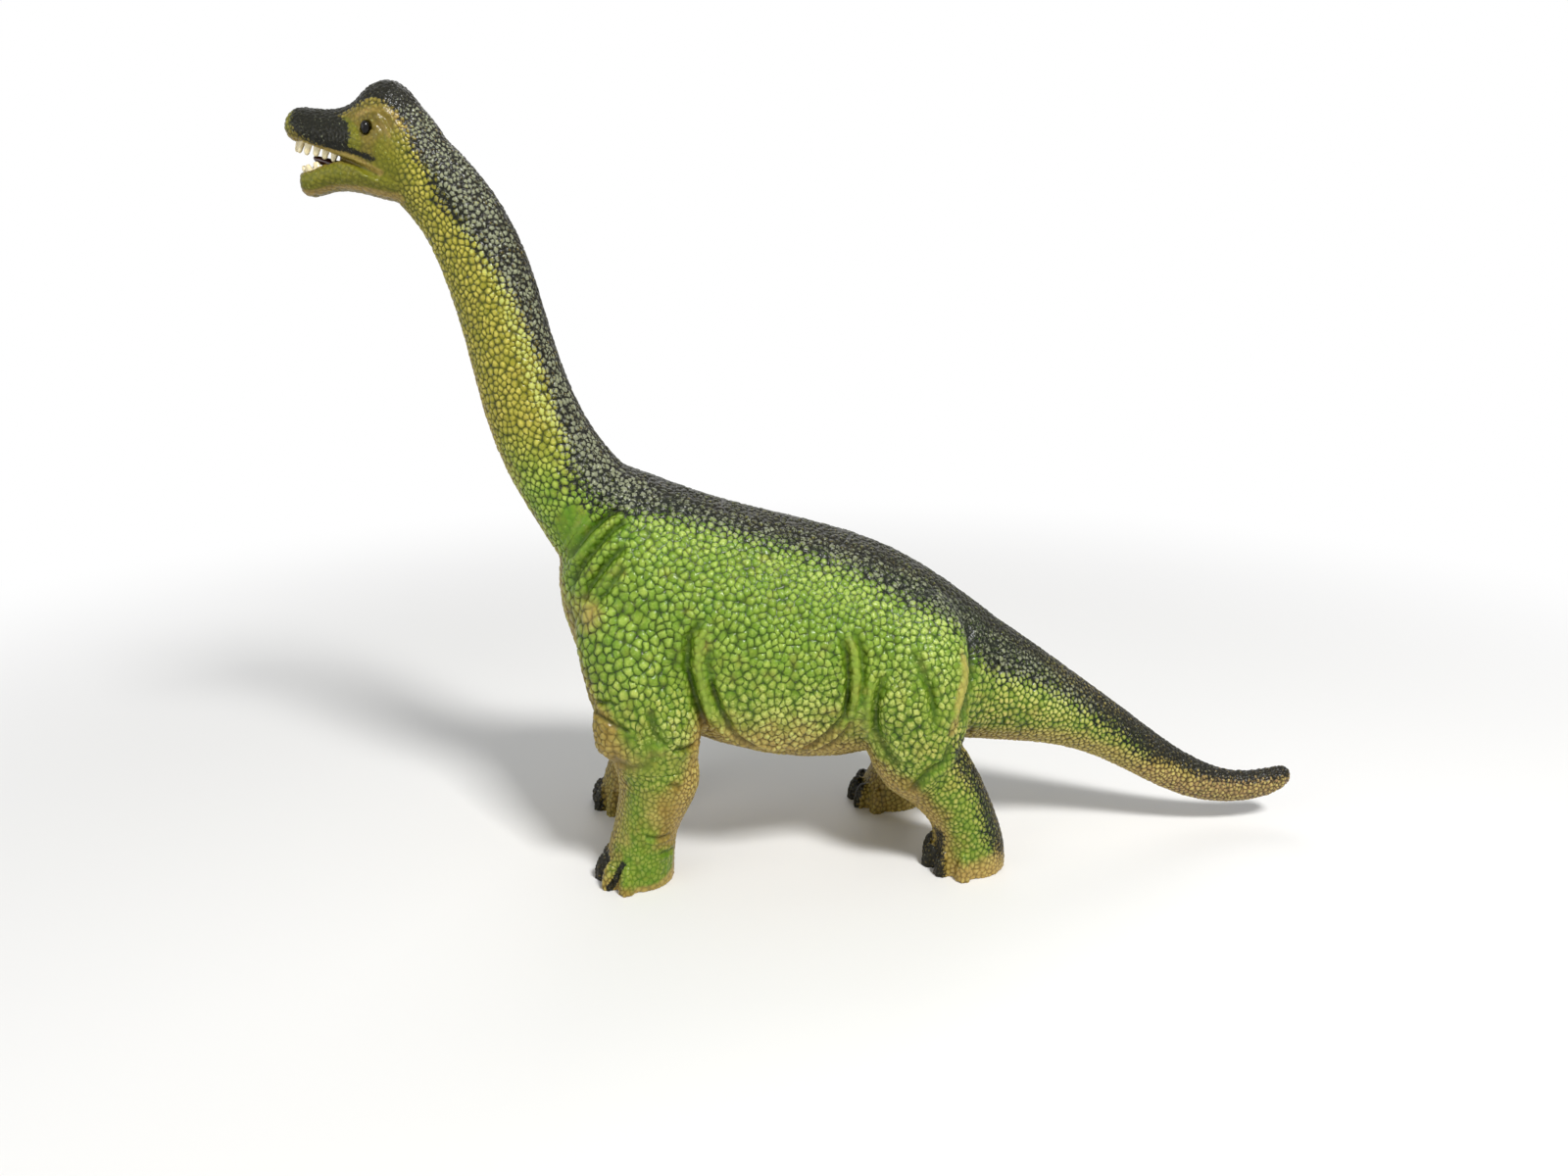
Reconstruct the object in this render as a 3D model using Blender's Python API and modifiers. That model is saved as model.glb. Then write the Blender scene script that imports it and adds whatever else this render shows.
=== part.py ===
"""Long-necked toy dinosaur, about 34 cm long, of hollow soft vinyl skins that plug into one another.

The torso skin carries both shoulders and both thighs. The neck with the head, the tail and the four
lower legs each end in a collar that is glued into an opening of the torso. The eyes, the two tooth
rows and the tongue are small mouldings of their own, set into the head.

Metres. -X is the head's end, +Y the animal's right side and +Z up. The origin lies on the floor,
under the middle of the figure.
"""
import math
from collections import namedtuple

import bmesh
import bpy
from mathutils import Matrix, Vector
from mathutils.bvhtree import BVHTree

# Skins and joints
WALL = 0.0028
COLLAR_LENGTH = 0.008
CLEARANCE = 0.0003
OVERRUN = 0.001

# Trunk: the chest's reach ahead of the origin, and its size from the neck's seat to the tail's
CHEST_REACH = 0.0953
TRUNK_LENGTH = 0.152
BACK_HEIGHT = 0.1385
TRUNK_WIDTH = 0.078

# Folds and swellings of the skin on both flanks
CREASE_WIDTH = 0.0034
CREASE_DEPTH = 0.0013
ROLL_WIDTH = 0.0046
ROLL_HEIGHT = 0.0008
SWELLING_DEPTH = 0.012
SWELLING_HEIGHT = 0.0011

# Neck and tail, each from its seat on the trunk
NECK_REACH = 0.048
NECK_RISE = 0.110
NECK_WIDTH = 0.037
TAIL_LENGTH = 0.1222
TAIL_DROP = 0.048
TAIL_WIDTH = 0.042

# Head
HEAD_LENGTH = 0.045
HEAD_HEIGHT = 0.0335
HEAD_WIDTH = 0.022
EYE_LENGTH = 0.0028
EYE_HEIGHT = 0.0038
EYE_DEPTH = 0.0026
UPPER_TOOTH_LENGTH = 0.0038
LOWER_TOOTH_LENGTH = 0.0022
GUM_THICKNESS = 0.0018
GUM_HEIGHT = 0.0018
UPPER_ARCH_WIDTH = 0.0088
LOWER_ARCH_WIDTH = 0.0080
UPPER_GUM_LIFT = 0.0027
LOWER_GUM_SINK = 0.0027
UPPER_TOOTH_COUNT = 12
LOWER_TOOTH_COUNT = 6
TONGUE_LENGTH = 0.019
TONGUE_WIDTH = 0.0064
TONGUE_THICKNESS = 0.0034

# Shoulders and lower forelegs
SHOULDER_HEIGHT = 0.112
SHOULDER_LENGTH = 0.042
SHOULDER_WIDTH = 0.033
ELBOW_HEIGHT = 0.0435
FORE_TRACK = 0.057
FORE_STRIDE = 0.007

# Thighs and lower hind legs
HIP_HEIGHT = 0.104
THIGH_LENGTH = 0.040
THIGH_WIDTH = 0.034
KNEE_HEIGHT = 0.035
HIND_TRACK = 0.051
HIND_STRIDE = 0.0205
HIND_FOOT_SETBACK = 0.0195

# Feet
FOOT_LENGTH = 0.028
FOOT_WIDTH = 0.026
TOE_LENGTH = 0.0085
TOE_WIDTH = 0.0064
TOE_HEIGHT = 0.0095

# Faces: points round a soft skin before it is subdivided, and round a plain core or collar
RING_SIDES = 10
FOLD_SIDES = 6
SWELLING_SIDES = 12
SWELLING_RINGS = 7
TRUNK_SIDES = 12
TONGUE_SIDES = 7
CORE_SIDES = 14
LEVELS = 1
ARCH_STEPS = 24
SHARP_ANGLE = math.radians(50)

# Rings along the trunk: upper point and lower point as shares of its length and height, then width
TRUNK_SHARES = (
    (0.148, 1.000, 0.000, 0.769, 0.487),
    (0.224, 0.966, -0.012, 0.665, 0.730),
    (0.316, 0.928, 0.053, 0.448, 0.890),
    (0.414, 0.896, 0.237, 0.325, 0.960),
    (0.539, 0.863, 0.447, 0.246, 1.000),
    (0.658, 0.826, 0.632, 0.235, 1.000),
    (0.763, 0.780, 0.770, 0.285, 0.920),
    (0.882, 0.697, 0.882, 0.305, 0.740),
    (1.000, 0.596, 0.934, 0.271, 0.538),
)
TRUNK_SAG_SHARE = 0.12
HOLLOW_END_SHARE = 0.45

# How far subdivision draws a ring in, from its own place towards the middle of its neighbours
DRAW_IN_SHARE = 0.25

# Rings up the neck: back point and throat point as shares of its reach and rise, then width
NECK_SHARES = (
    (-0.040, 0.240, 0.425, 0.000, 0.890),
    (0.098, 0.368, 0.590, 0.132, 0.810),
    (0.195, 0.500, 0.705, 0.295, 0.755),
    (0.265, 0.632, 0.772, 0.468, 0.700),
    (0.345, 0.765, 0.845, 0.614, 0.650),
    (0.470, 0.895, 0.927, 0.732, 0.595),
    (0.655, 1.005, 1.020, 0.832, 0.555),
    (0.834, 1.090, 1.166, 0.905, 0.540),
    (1.020, 1.130, 1.280, 0.945, 0.460),
)

# Rings along the skull and the lower jaw, from the top of the neck, as shares of the head's size
SKULL_SHARES = (
    (-0.267, 0.104, -0.022, -0.388, 0.820),
    (-0.156, 0.360, 0.089, -0.313, 0.860),
    (-0.022, 0.590, 0.211, -0.254, 0.950),
    (0.122, 0.765, 0.311, -0.164, 1.000),
    (0.267, 0.715, 0.367, -0.040, 0.960),
    (0.400, 0.555, 0.444, 0.015, 0.870),
    (0.556, 0.497, 0.578, 0.080, 0.760),
    (0.700, 0.520, 0.711, 0.140, 0.700),
    (0.805, 0.535, 0.833, 0.206, 0.620),
    (0.872, 0.440, 0.886, 0.284, 0.400),
)
SKULL_SAG_SHARE = 0.22
JAW_SHARES = (
    (0.020, 0.075, 0.090, -0.330, 0.780),
    (0.156, 0.075, 0.222, -0.300, 0.820),
    (0.333, 0.075, 0.356, -0.245, 0.845),
    (0.489, 0.120, 0.511, -0.200, 0.760),
    (0.622, 0.075, 0.633, -0.218, 0.680),
    (0.722, 0.015, 0.751, -0.285, 0.610),
    (0.815, 0.000, 0.830, -0.230, 0.450),
)

# Rings along the mouth's hollow and along the tongue, as shares of the head's size
MOUTH_SHARES = (
    (0.330, 0.150, 0.350, -0.030, 0.440),
    (0.490, 0.180, 0.510, -0.045, 0.530),
    (0.650, 0.225, 0.660, -0.060, 0.510),
    (0.780, 0.290, 0.785, -0.060, 0.460),
    (0.845, 0.260, 0.845, 0.000, 0.320),
)
TONGUE_SHARES = (
    (-0.08, 1.12, -0.08, 0.30, 0.70),
    (0.18, 1.24, 0.18, 0.18, 0.95),
    (0.45, 1.41, 0.45, 0.24, 1.00),
    (0.71, 1.88, 0.71, 0.85, 0.90),
    (0.92, 2.00, 0.92, 1.40, 0.60),
)

# Where the gums begin and end, from one ring of the skull or the jaw to the next
UPPER_GUM_BACK_SHARE = 0.5
UPPER_GUM_FRONT_SHARE = 0.7
LOWER_GUM_BACK_SHARE = 0.15
LOWER_GUM_FRONT_SHARE = 0.6

# A tooth's width as a share of the pitch, how much shorter the last one is than the first, and
# how far each step of a tooth is drawn out and narrowed
TOOTH_WIDTH_SHARE = 0.76
BACK_TOOTH_LOSS_SHARE = 0.45
TOOTH_SHARES = ((0.60, 0.92), (0.40, 0.62))

# Rings down the tail: upper point and lower point as shares of its length and drop, then width
TAIL_SHARES = (
    (0.179, -0.225, 0.099, 0.500, 0.810),
    (0.302, 0.015, 0.231, 0.535, 0.633),
    (0.430, 0.252, 0.364, 0.645, 0.500),
    (0.560, 0.520, 0.496, 0.835, 0.380),
    (0.690, 0.738, 0.636, 1.025, 0.305),
    (0.810, 0.850, 0.777, 1.096, 0.238),
    (0.909, 0.810, 0.926, 1.050, 0.200),
    (0.975, 0.770, 0.992, 0.906, 0.114),
)

# Rings down a shoulder and a thigh: front point and back point as shares of the limb's length and
# of the height above its lower end, then how far out, the width, and how far it swings
SHOULDER_SHARES = (
    (-0.24, 0.96, 0.33, 0.98, 0.42, 0.60, 0.00),
    (-0.42, 0.78, 0.43, 0.80, 0.66, 0.91, 0.00),
    (-0.43, 0.56, 0.43, 0.59, 0.82, 1.00, 0.00),
    (-0.34, 0.36, 0.49, 0.39, 0.92, 1.00, 0.05),
    (-0.29, 0.21, 0.58, 0.24, 0.98, 0.98, 0.15),
    (-0.24, 0.10, 0.56, 0.12, 1.00, 0.93, 0.25),
    (-0.16, 0.01, 0.53, -0.01, 1.00, 0.88, 0.35),
)
THIGH_SHARES = (
    (-0.45, 1.00, 0.25, 0.91, 0.46, 0.47, 0.00),
    (-0.53, 0.80, 0.43, 0.77, 0.72, 0.88, 0.00),
    (-0.51, 0.57, 0.48, 0.54, 0.90, 1.00, 0.00),
    (-0.48, 0.32, 0.45, 0.33, 0.98, 1.00, 0.05),
    (-0.44, 0.13, 0.45, 0.28, 1.02, 0.93, 0.15),
    (-0.30, -0.06, 0.43, 0.21, 1.00, 0.87, 0.30),
    (-0.03, -0.16, 0.38, 0.17, 0.98, 0.80, 0.40),
)
SHOULDER_PLACE_SHARE = 0.158
THIGH_PLACE_SHARE = 0.790

# Creases and rolls of skin: a name, how far it swings with its limb, and its line in the side
# view, as shares of the trunk's length and height
CREASE_SHARES = (
    ("neck_fold_upper", 0.00, ((0.165, 0.922), (0.125, 0.905), (0.085, 0.870), (0.040, 0.805))),
    ("neck_fold_lower", 0.00, ((0.170, 0.850), (0.125, 0.808), (0.085, 0.750), (0.062, 0.705))),
    ("armpit_crease", 0.00, ((0.316, 0.680), (0.290, 0.640), (0.284, 0.570), (0.298, 0.500),
                             (0.318, 0.425))),
    ("flank_crease", 0.00, ((0.611, 0.634), (0.625, 0.592), (0.630, 0.535), (0.627, 0.480),
                            (0.620, 0.425))),
    ("thigh_crease", 0.02, ((0.650, 0.650), (0.659, 0.590), (0.660, 0.540), (0.652, 0.470))),
    ("knee_crease_front", 0.08, ((0.702, 0.540), (0.688, 0.470), (0.692, 0.400), (0.716, 0.345))),
    ("knee_crease_back", 0.08, ((0.782, 0.565), (0.803, 0.508), (0.812, 0.460), (0.816, 0.410))),
)
ROLL_SHARES = (
    ("armpit_roll", 0.00, ((0.340, 0.680), (0.315, 0.635), (0.308, 0.575), (0.321, 0.500),
                           (0.344, 0.425))),
    ("flank_roll", 0.00, ((0.625, 0.650), (0.640, 0.600), (0.645, 0.545), (0.643, 0.490),
                          (0.636, 0.430))),
)
FOLD_END_SHARE = 0.45

# Swellings: a name, the swing, the middle and the reach, in the same shares
SWELLING_SHARES = (
    ("belly_swelling", 0.00, (0.470, 0.478), (0.165, 0.135)),
    ("knee_swelling", 0.08, (0.750, 0.452), (0.060, 0.088)),
    ("elbow_swelling", 0.15, (0.140, 0.415), (0.072, 0.082)),
)

# Rings down a lower leg: front point and back point as shares of the foot's length and of the
# height of the seat, then the width and how far it swings
FORELEG_SHARES = (
    (-0.16, 0.85, 0.83, 0.84, 1.08, 0.50),
    (-0.18, 0.70, 0.77, 0.71, 1.03, 0.65),
    (-0.22, 0.56, 0.65, 0.57, 0.96, 0.80),
    (-0.27, 0.40, 0.52, 0.41, 0.91, 0.93),
    (-0.37, 0.20, 0.48, 0.21, 0.95, 1.00),
    (-0.40, 0.00, 0.47, 0.00, 0.97, 1.00),
)
HINDLEG_SHARES = (
    (-0.58, 0.57, 0.04, 1.10, 1.02, 0.50),
    (-0.46, 0.44, 0.23, 0.80, 0.96, 0.68),
    (-0.42, 0.30, 0.39, 0.46, 0.95, 0.84),
    (-0.46, 0.15, 0.49, 0.20, 0.97, 0.96),
    (-0.47, 0.00, 0.48, 0.00, 0.98, 1.00),
)

# Toes round the front of a foot, in degrees from straight ahead towards the outer side
TOE_ANGLES = (-62, -28, 6, 40, 74)
TOE_SET_BACK_SHARE = 0.12

# The eye lies this far from the crest's ring to the brow's, and this far inside the skin
EYE_PLACE_SHARE = 0.75
EYE_SINK_SHARE = 0.22

FLAT = "flat"
ROUND = "round"
SIDES = (("left", -1), ("right", 1))
UP = Vector((0, 0, 1))

# A cross-section of a skin. Its upper and lower points lie in the side view, and it stands
# square to that view with its middle at the given distance to the right.
Ring = namedtuple("Ring", "upper lower half_width middle")


def clear_scene():
    for obj in list(bpy.data.objects):
        bpy.data.objects.remove(obj, do_unlink=True)


def make_collection(name):
    collection = bpy.data.collections.new(name)
    bpy.context.scene.collection.children.link(collection)
    return collection


def make_material(name, colour, roughness):
    material = bpy.data.materials.new(name)
    material.use_nodes = True
    shader = material.node_tree.nodes["Principled BSDF"]
    shader.inputs["Base Color"].default_value = (*colour, 1)
    shader.inputs["Roughness"].default_value = roughness
    shader.inputs["Metallic"].default_value = 0
    material.diffuse_color = (*colour, 1)
    return material


def side_point(x, z):
    return Vector((x, 0, z))


def grown(ring, amount):
    """The ring with its outline moved outwards, or inwards where the amount is negative."""
    outward = (ring.upper - ring.lower).normalized() * amount
    return Ring(ring.upper + outward, ring.lower - outward, ring.half_width + amount, ring.middle)


def moved(ring, distance):
    """The ring moved square to its own plane, towards the side on its right in the side view."""
    across = (ring.upper - ring.lower).normalized()
    step = Vector((across.z, 0, -across.x)) * distance
    return Ring(ring.upper + step, ring.lower + step, ring.half_width, ring.middle)


def between(first, second, share):
    upper = first.upper.lerp(second.upper, share)
    lower = first.lower.lerp(second.lower, share)
    half_width = first.half_width + (second.half_width - first.half_width) * share
    return Ring(upper, lower, half_width, first.middle + (second.middle - first.middle) * share)


def settled(rings):
    """The rings but the first and the last, where subdivision leaves them in a skin."""
    places = []
    for before, ring, after in zip(rings, rings[1:], rings[2:]):
        places.append(between(ring, between(before, after, 1 / 2), DRAW_IN_SHARE))
    return places


def centre(ring):
    point = (ring.upper + ring.lower) / 2
    return Vector((point.x, ring.middle, point.z))


def ring_points(ring, sides, sag_share, swell):
    middle = centre(ring)
    upward = (ring.upper - ring.lower) / 2 * swell
    sideways = Vector((0, ring.half_width * swell, 0))
    points = []
    for index in range(sides):
        angle = math.tau * index / sides
        bulge = 1 - sag_share * math.cos(angle)
        points.append(middle + upward * math.cos(angle) + sideways * math.sin(angle) * bulge)
    return points


def loft(rings, sides, sag_share, swell, close_start, close_end):
    """A tube of faces through a row of rings, with the ends that are wanted closed."""
    bm = bmesh.new()
    loops = []
    for ring in rings:
        points = ring_points(ring, sides, sag_share, swell)
        loops.append([bm.verts.new(point) for point in points])
    for near, far in zip(loops, loops[1:]):
        for index in range(sides):
            after = (index + 1) % sides
            bm.faces.new((near[index], near[after], far[after], far[index]))
    if close_start:
        bm.faces.new(loops[0])
    if close_end:
        bm.faces.new(loops[-1])
    bmesh.ops.recalc_face_normals(bm, faces=bm.faces)
    return bm


def finished_object(name, bm, collection, material=None):
    """The mesh in triangles, which keep every later cut exact, and smooth but for its edges."""
    mesh = bpy.data.meshes.new(name)
    bmesh.ops.triangulate(bm, faces=bm.faces)
    bmesh.ops.recalc_face_normals(bm, faces=bm.faces)
    bm.to_mesh(mesh)
    bm.free()
    mesh.shade_smooth()
    mesh.set_sharp_from_angle(angle=SHARP_ANGLE)
    return add_object(name, mesh, collection, material)


def add_object(name, mesh, collection, material=None):
    obj = bpy.data.objects.new(name, mesh)
    collection.objects.link(obj)
    if material is not None:
        mesh.materials.append(material)
    if collection is cutters:
        obj.hide_render = True
        obj.display_type = 'WIRE'
    return obj


def finished_mesh(obj):
    """The object's mesh with its modifiers applied. The object itself is removed."""
    bpy.context.view_layer.update()
    depsgraph = bpy.context.evaluated_depsgraph_get()
    mesh = bpy.data.meshes.new_from_object(obj.evaluated_get(depsgraph))
    bpy.data.objects.remove(obj, do_unlink=True)
    return mesh


def skin(name, rings, start, end, collection, sides=RING_SIDES, sag_share=0.0, material=None):
    """A soft solid through a row of rings, each end either rounded off or cut flat."""
    # The cage stands out so far that the subdivided skin passes through the rings
    swell = 4 / (3 + math.cos(math.tau / sides))
    cage = bpy.data.meshes.new(name + "_cage")
    bm = loft(rings, sides, sag_share, swell, start == ROUND, end == ROUND)
    bm.to_mesh(cage)
    bm.free()
    soft = add_object(name + "_cage", cage, collection)
    subdivision = soft.modifiers.new("Subdivision", 'SUBSURF')
    subdivision.levels = LEVELS
    subdivision.render_levels = LEVELS
    bm = bmesh.new()
    bm.from_mesh(finished_mesh(soft))
    bmesh.ops.holes_fill(bm, edges=bm.edges)
    return finished_object(name, bm, collection, material)


def core(name, rings, sag_share=0.0):
    """A plain cutter or collar through a row of rings, with flat ends."""
    return finished_object(name, loft(rings, CORE_SIDES, sag_share, 1, True, True), cutters)


def boolean(target, other, operation):
    modifier = target.modifiers.new(other.name, 'BOOLEAN')
    modifier.operation = operation
    modifier.solver = 'EXACT'
    modifier.object = other
    return target


def join(target, other):
    return boolean(target, other, 'UNION')


def cut(target, other):
    return boolean(target, other, 'DIFFERENCE')


def trunk_rings():
    rings = []
    for upper_x, upper_z, lower_x, lower_z, width in TRUNK_SHARES:
        upper = side_point(TRUNK_LENGTH * upper_x - CHEST_REACH, BACK_HEIGHT * upper_z)
        lower = side_point(TRUNK_LENGTH * lower_x - CHEST_REACH, BACK_HEIGHT * lower_z)
        rings.append(Ring(upper, lower, TRUNK_WIDTH / 2 * width, 0.0))
    return rings


def rings_from(start, reach, rise, full_width, table):
    """Rings whose table runs forwards and upwards from the start, in shares of reach and rise."""
    rings = []
    for upper_x, upper_z, lower_x, lower_z, width in table:
        upper = start + side_point(reach * upper_x, rise * upper_z)
        lower = start + side_point(reach * lower_x, rise * lower_z)
        rings.append(Ring(upper, lower, full_width / 2 * width, 0.0))
    return rings


def limb_rings(place_x, length, low, high, track, width, stride, side, table):
    """Rings down a shoulder or a thigh. The right limb swings forwards by its stride."""
    rings = []
    for front_x, front_z, back_x, back_z, out, wide, swing in table:
        x = place_x - (stride * swing if side > 0 else 0)
        front = side_point(x + length * front_x, low + (high - low) * front_z)
        back = side_point(x + length * back_x, low + (high - low) * back_z)
        rings.append(Ring(front, back, width / 2 * wide, side * track / 2 * out))
    return rings


def leg_rings(foot_x, seat_height, track, stride, side, table):
    """Rings down a lower leg to its flat sole."""
    rings = []
    for front_x, front_z, back_x, back_z, wide, swing in table:
        x = foot_x - (stride * swing if side > 0 else 0)
        front = side_point(x + FOOT_LENGTH * front_x, seat_height * front_z)
        back = side_point(x + FOOT_LENGTH * back_x, seat_height * back_z)
        rings.append(Ring(front, back, FOOT_WIDTH / 2 * wide, side * track / 2))
    return rings


def collar(name, seat, into, fit):
    """The straight collar of a section, or the socket that takes it, grown by its fit."""
    outline = grown(seat, fit - WALL - CLEARANCE)
    root = moved(outline, -into * (WALL + fit))
    tip = moved(outline, into * (COLLAR_LENGTH + fit))
    return core(name, [root, tip])


def plugged_skin(name, seat, rings, into, end, cored, material):
    """A hollow section of skin with the collar that goes into the torso at its seat."""
    rim = moved(seat, -into * CLEARANCE)
    section = skin(name, [rim] + rings, FLAT, end, figure, material=material)
    join(section, collar(name + "_collar", seat, into, 0.0))
    bore = grown(seat, -2 * WALL - CLEARANCE)
    inside = [moved(bore, into * (COLLAR_LENGTH + OVERRUN)), moved(bore, -into * WALL)]
    inside += [grown(ring, -WALL) for ring in settled([rim] + rings)[cored]]
    cut(section, core(name + "_core", inside))
    return section


def flank_point(surface, side, swing, share_x, share_z):
    """The place on a flank that shares of the side view give, and the direction it faces."""
    stride = FORE_STRIDE if share_x < 1 / 2 else HIND_STRIDE
    x = TRUNK_LENGTH * share_x - CHEST_REACH - (stride * swing if side > 0 else 0)
    start = Vector((x, side * TRUNK_WIDTH, BACK_HEIGHT * share_z))
    place, facing = surface.ray_cast(start, Vector((0, -side, 0)))[:2]
    return place, facing


def fold(name, points, width, height, sign):
    """A tube laid along a flank, thin and clear of the skin's face at both ends. Its middle
    stands as high over the skin as it is asked, or lies as deep in it where the sign is -1."""
    bm = bmesh.new()
    loops = []
    last = len(points) - 1
    for index, (place, facing) in enumerate(points):
        ahead = points[min(index + 1, last)][0] - points[max(index - 1, 0)][0]
        aside = facing.cross(ahead).normalized()
        outward = ahead.cross(aside).normalized()
        radius = width / 2
        reach = height
        if index in (0, last):
            radius *= FOLD_END_SHARE
            reach = -radius
        middle = place + outward * sign * (reach - radius)
        loop = []
        for corner in range(FOLD_SIDES):
            angle = math.tau * corner / FOLD_SIDES
            spoke = outward * math.cos(angle) + aside * math.sin(angle)
            loop.append(bm.verts.new(middle + spoke * radius))
        loops.append(loop)
    for near, far in zip(loops, loops[1:]):
        for corner in range(FOLD_SIDES):
            after = (corner + 1) % FOLD_SIDES
            bm.faces.new((near[corner], near[after], far[after], far[corner]))
    bm.faces.new(loops[0])
    bm.faces.new(loops[-1])
    return finished_object(name, bm, cutters)


def surface_of(obj):
    """The object as it stands, to send rays onto."""
    bpy.context.view_layer.update()
    return BVHTree.FromObject(obj, bpy.context.evaluated_depsgraph_get())


def press_folds(torso):
    """Swellings on both flanks, then rolls, then creases, each laid on the skin as it stands."""
    surface = surface_of(torso)
    for side_name, side in SIDES:
        for name, swing, middle, reach in SWELLING_SHARES:
            place, facing = flank_point(surface, side, swing, *middle)
            place -= Vector((0, side, 0)) * (SWELLING_DEPTH / 2 - SWELLING_HEIGHT)
            size = Vector((2 * TRUNK_LENGTH * reach[0], SWELLING_DEPTH, 2 * BACK_HEIGHT * reach[1]))
            join(torso, ellipsoid(name + "_" + side_name, place, size, cutters,
                                  rings=SWELLING_RINGS, segments=SWELLING_SIDES))
    surface = surface_of(torso)
    for side_name, side in SIDES:
        for name, swing, line in ROLL_SHARES:
            points = [flank_point(surface, side, swing, *shares) for shares in line]
            join(torso, fold(name + "_" + side_name, points, ROLL_WIDTH, ROLL_HEIGHT, 1))
    surface = surface_of(torso)
    for side_name, side in SIDES:
        for name, swing, line in CREASE_SHARES:
            points = [flank_point(surface, side, swing, *shares) for shares in line]
            cut(torso, fold(name + "_" + side_name, points, CREASE_WIDTH, CREASE_DEPTH, -1))


def build_torso(trunk, shoulders, thighs, seats, material):
    """The trunk with its shoulders and thighs, hollowed, with a socket at every seat."""
    torso = skin("torso_shell", trunk, FLAT, FLAT, figure, TRUNK_SIDES, TRUNK_SAG_SHARE, material)
    limbs = [("shoulder", shoulders), ("thigh", thighs)]
    for limb_name, pair in limbs:
        for side_name, rings in pair.items():
            name = limb_name + "_" + side_name
            join(torso, skin(name, rings, ROUND, FLAT, cutters))
    press_folds(torso)

    inner = [between(trunk[0], trunk[1], HOLLOW_END_SHARE)] + settled(trunk)
    inner.append(between(trunk[-1], trunk[-2], HOLLOW_END_SHARE))
    hollow = [grown(ring, -WALL) for ring in inner]
    cut(torso, core("trunk_core", hollow, TRUNK_SAG_SHARE))
    for limb_name, pair in limbs:
        for side_name, rings in pair.items():
            hollow = [grown(ring, -WALL) for ring in settled(rings)]
            name = limb_name + "_core_" + side_name
            cut(torso, core(name, hollow))
    for name, (seat, into) in seats.items():
        cut(torso, collar(name + "_socket", seat, into, CLEARANCE))
    return torso


def ellipsoid(name, place, size, collection, material=None, rings=6, segments=8):
    mesh = bpy.data.meshes.new(name)
    bm = bmesh.new()
    bmesh.ops.create_uvsphere(bm, u_segments=segments, v_segments=rings, radius=0.5)
    bmesh.ops.scale(bm, vec=size, verts=bm.verts)
    bmesh.ops.translate(bm, vec=place, verts=bm.verts)
    bm.to_mesh(mesh)
    bm.free()
    mesh.shade_smooth()
    return add_object(name, mesh, collection, material)


def add_toes(leg, name, sole, side):
    """Blunt toes round the front of a foot, which is then trimmed flat on the floor."""
    middle = centre(sole)
    reach = (sole.upper - sole.lower).length / 2 - TOE_LENGTH * TOE_SET_BACK_SHARE
    spread = sole.half_width - TOE_LENGTH * TOE_SET_BACK_SHARE
    toes = bpy.data.meshes.new(name)
    bm = bmesh.new()
    for angle in TOE_ANGLES:
        turn = math.radians(angle)
        made = bmesh.ops.create_uvsphere(bm, u_segments=8, v_segments=8, radius=0.5)["verts"]
        bmesh.ops.scale(bm, vec=(TOE_LENGTH, TOE_WIDTH, 2 * TOE_HEIGHT), verts=made)
        across = Vector((-math.cos(turn) * reach, side * math.sin(turn) * spread, 0))
        bmesh.ops.rotate(bm, cent=(0, 0, 0), matrix=Matrix.Rotation(-side * turn, 3, 'Z'), verts=made)
        bmesh.ops.translate(bm, vec=middle + across, verts=made)
    bm.to_mesh(toes)
    bm.free()
    join(leg, add_object(name, toes, cutters))
    cut(leg, bpy.data.objects["floor_trim"])
    return leg


def make_floor_trim():
    """A block under the floor that cuts every foot to one flat plane."""
    mesh = bpy.data.meshes.new("floor_trim")
    bm = bmesh.new()
    bmesh.ops.create_cube(bm, size=1)
    depth = 2 * TOE_HEIGHT
    bmesh.ops.scale(bm, vec=(2 * TRUNK_LENGTH, 2 * TRUNK_WIDTH, depth), verts=bm.verts)
    bmesh.ops.translate(bm, vec=-UP * depth / 2, verts=bm.verts)
    bm.to_mesh(mesh)
    bm.free()
    return add_object("floor_trim", mesh, cutters)


def arch_line(back, front, width):
    """A line bent round a jaw like a U, from the left end round the front to the right end."""
    ahead = (front - back).normalized() * width / 2
    aside = Vector((0, width / 2, 0))
    line = [back - aside]
    for index in range(ARCH_STEPS + 1):
        turn = math.pi * index / ARCH_STEPS
        line.append(front - ahead + ahead * math.sin(turn) - aside * math.cos(turn))
    line.append(back + aside)
    return line


def line_length(line):
    return sum((after - before).length for before, after in zip(line, line[1:]))


def line_place(line, distance):
    """The place at a distance along a line, and the line's direction there."""
    for before, after in zip(line, line[1:]):
        stretch = (after - before).length
        if distance <= stretch or after is line[-1]:
            return before.lerp(after, distance / stretch), (after - before).normalized()
        distance -= stretch


def arch_strip(bm, line, marks, thickness, low, high):
    """A strip through the marks of a line. Gives back the faces of its high edge, in order."""
    loops = []
    for mark in marks:
        place, direction = line_place(line, mark)
        thick = direction.cross(high).normalized() * thickness / 2
        corners = (high + thick, high - thick, low - thick, low + thick)
        loops.append([bm.verts.new(place + corner) for corner in corners])
    edge_faces = []
    for near, far in zip(loops, loops[1:]):
        edge_faces.append(bm.faces.new((near[0], near[1], far[1], far[0])))
        for side in range(1, 4):
            after = (side + 1) % 4
            bm.faces.new((near[side], near[after], far[after], far[side]))
    bm.faces.new(loops[0])
    bm.faces.new(loops[-1])
    return edge_faces


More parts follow.
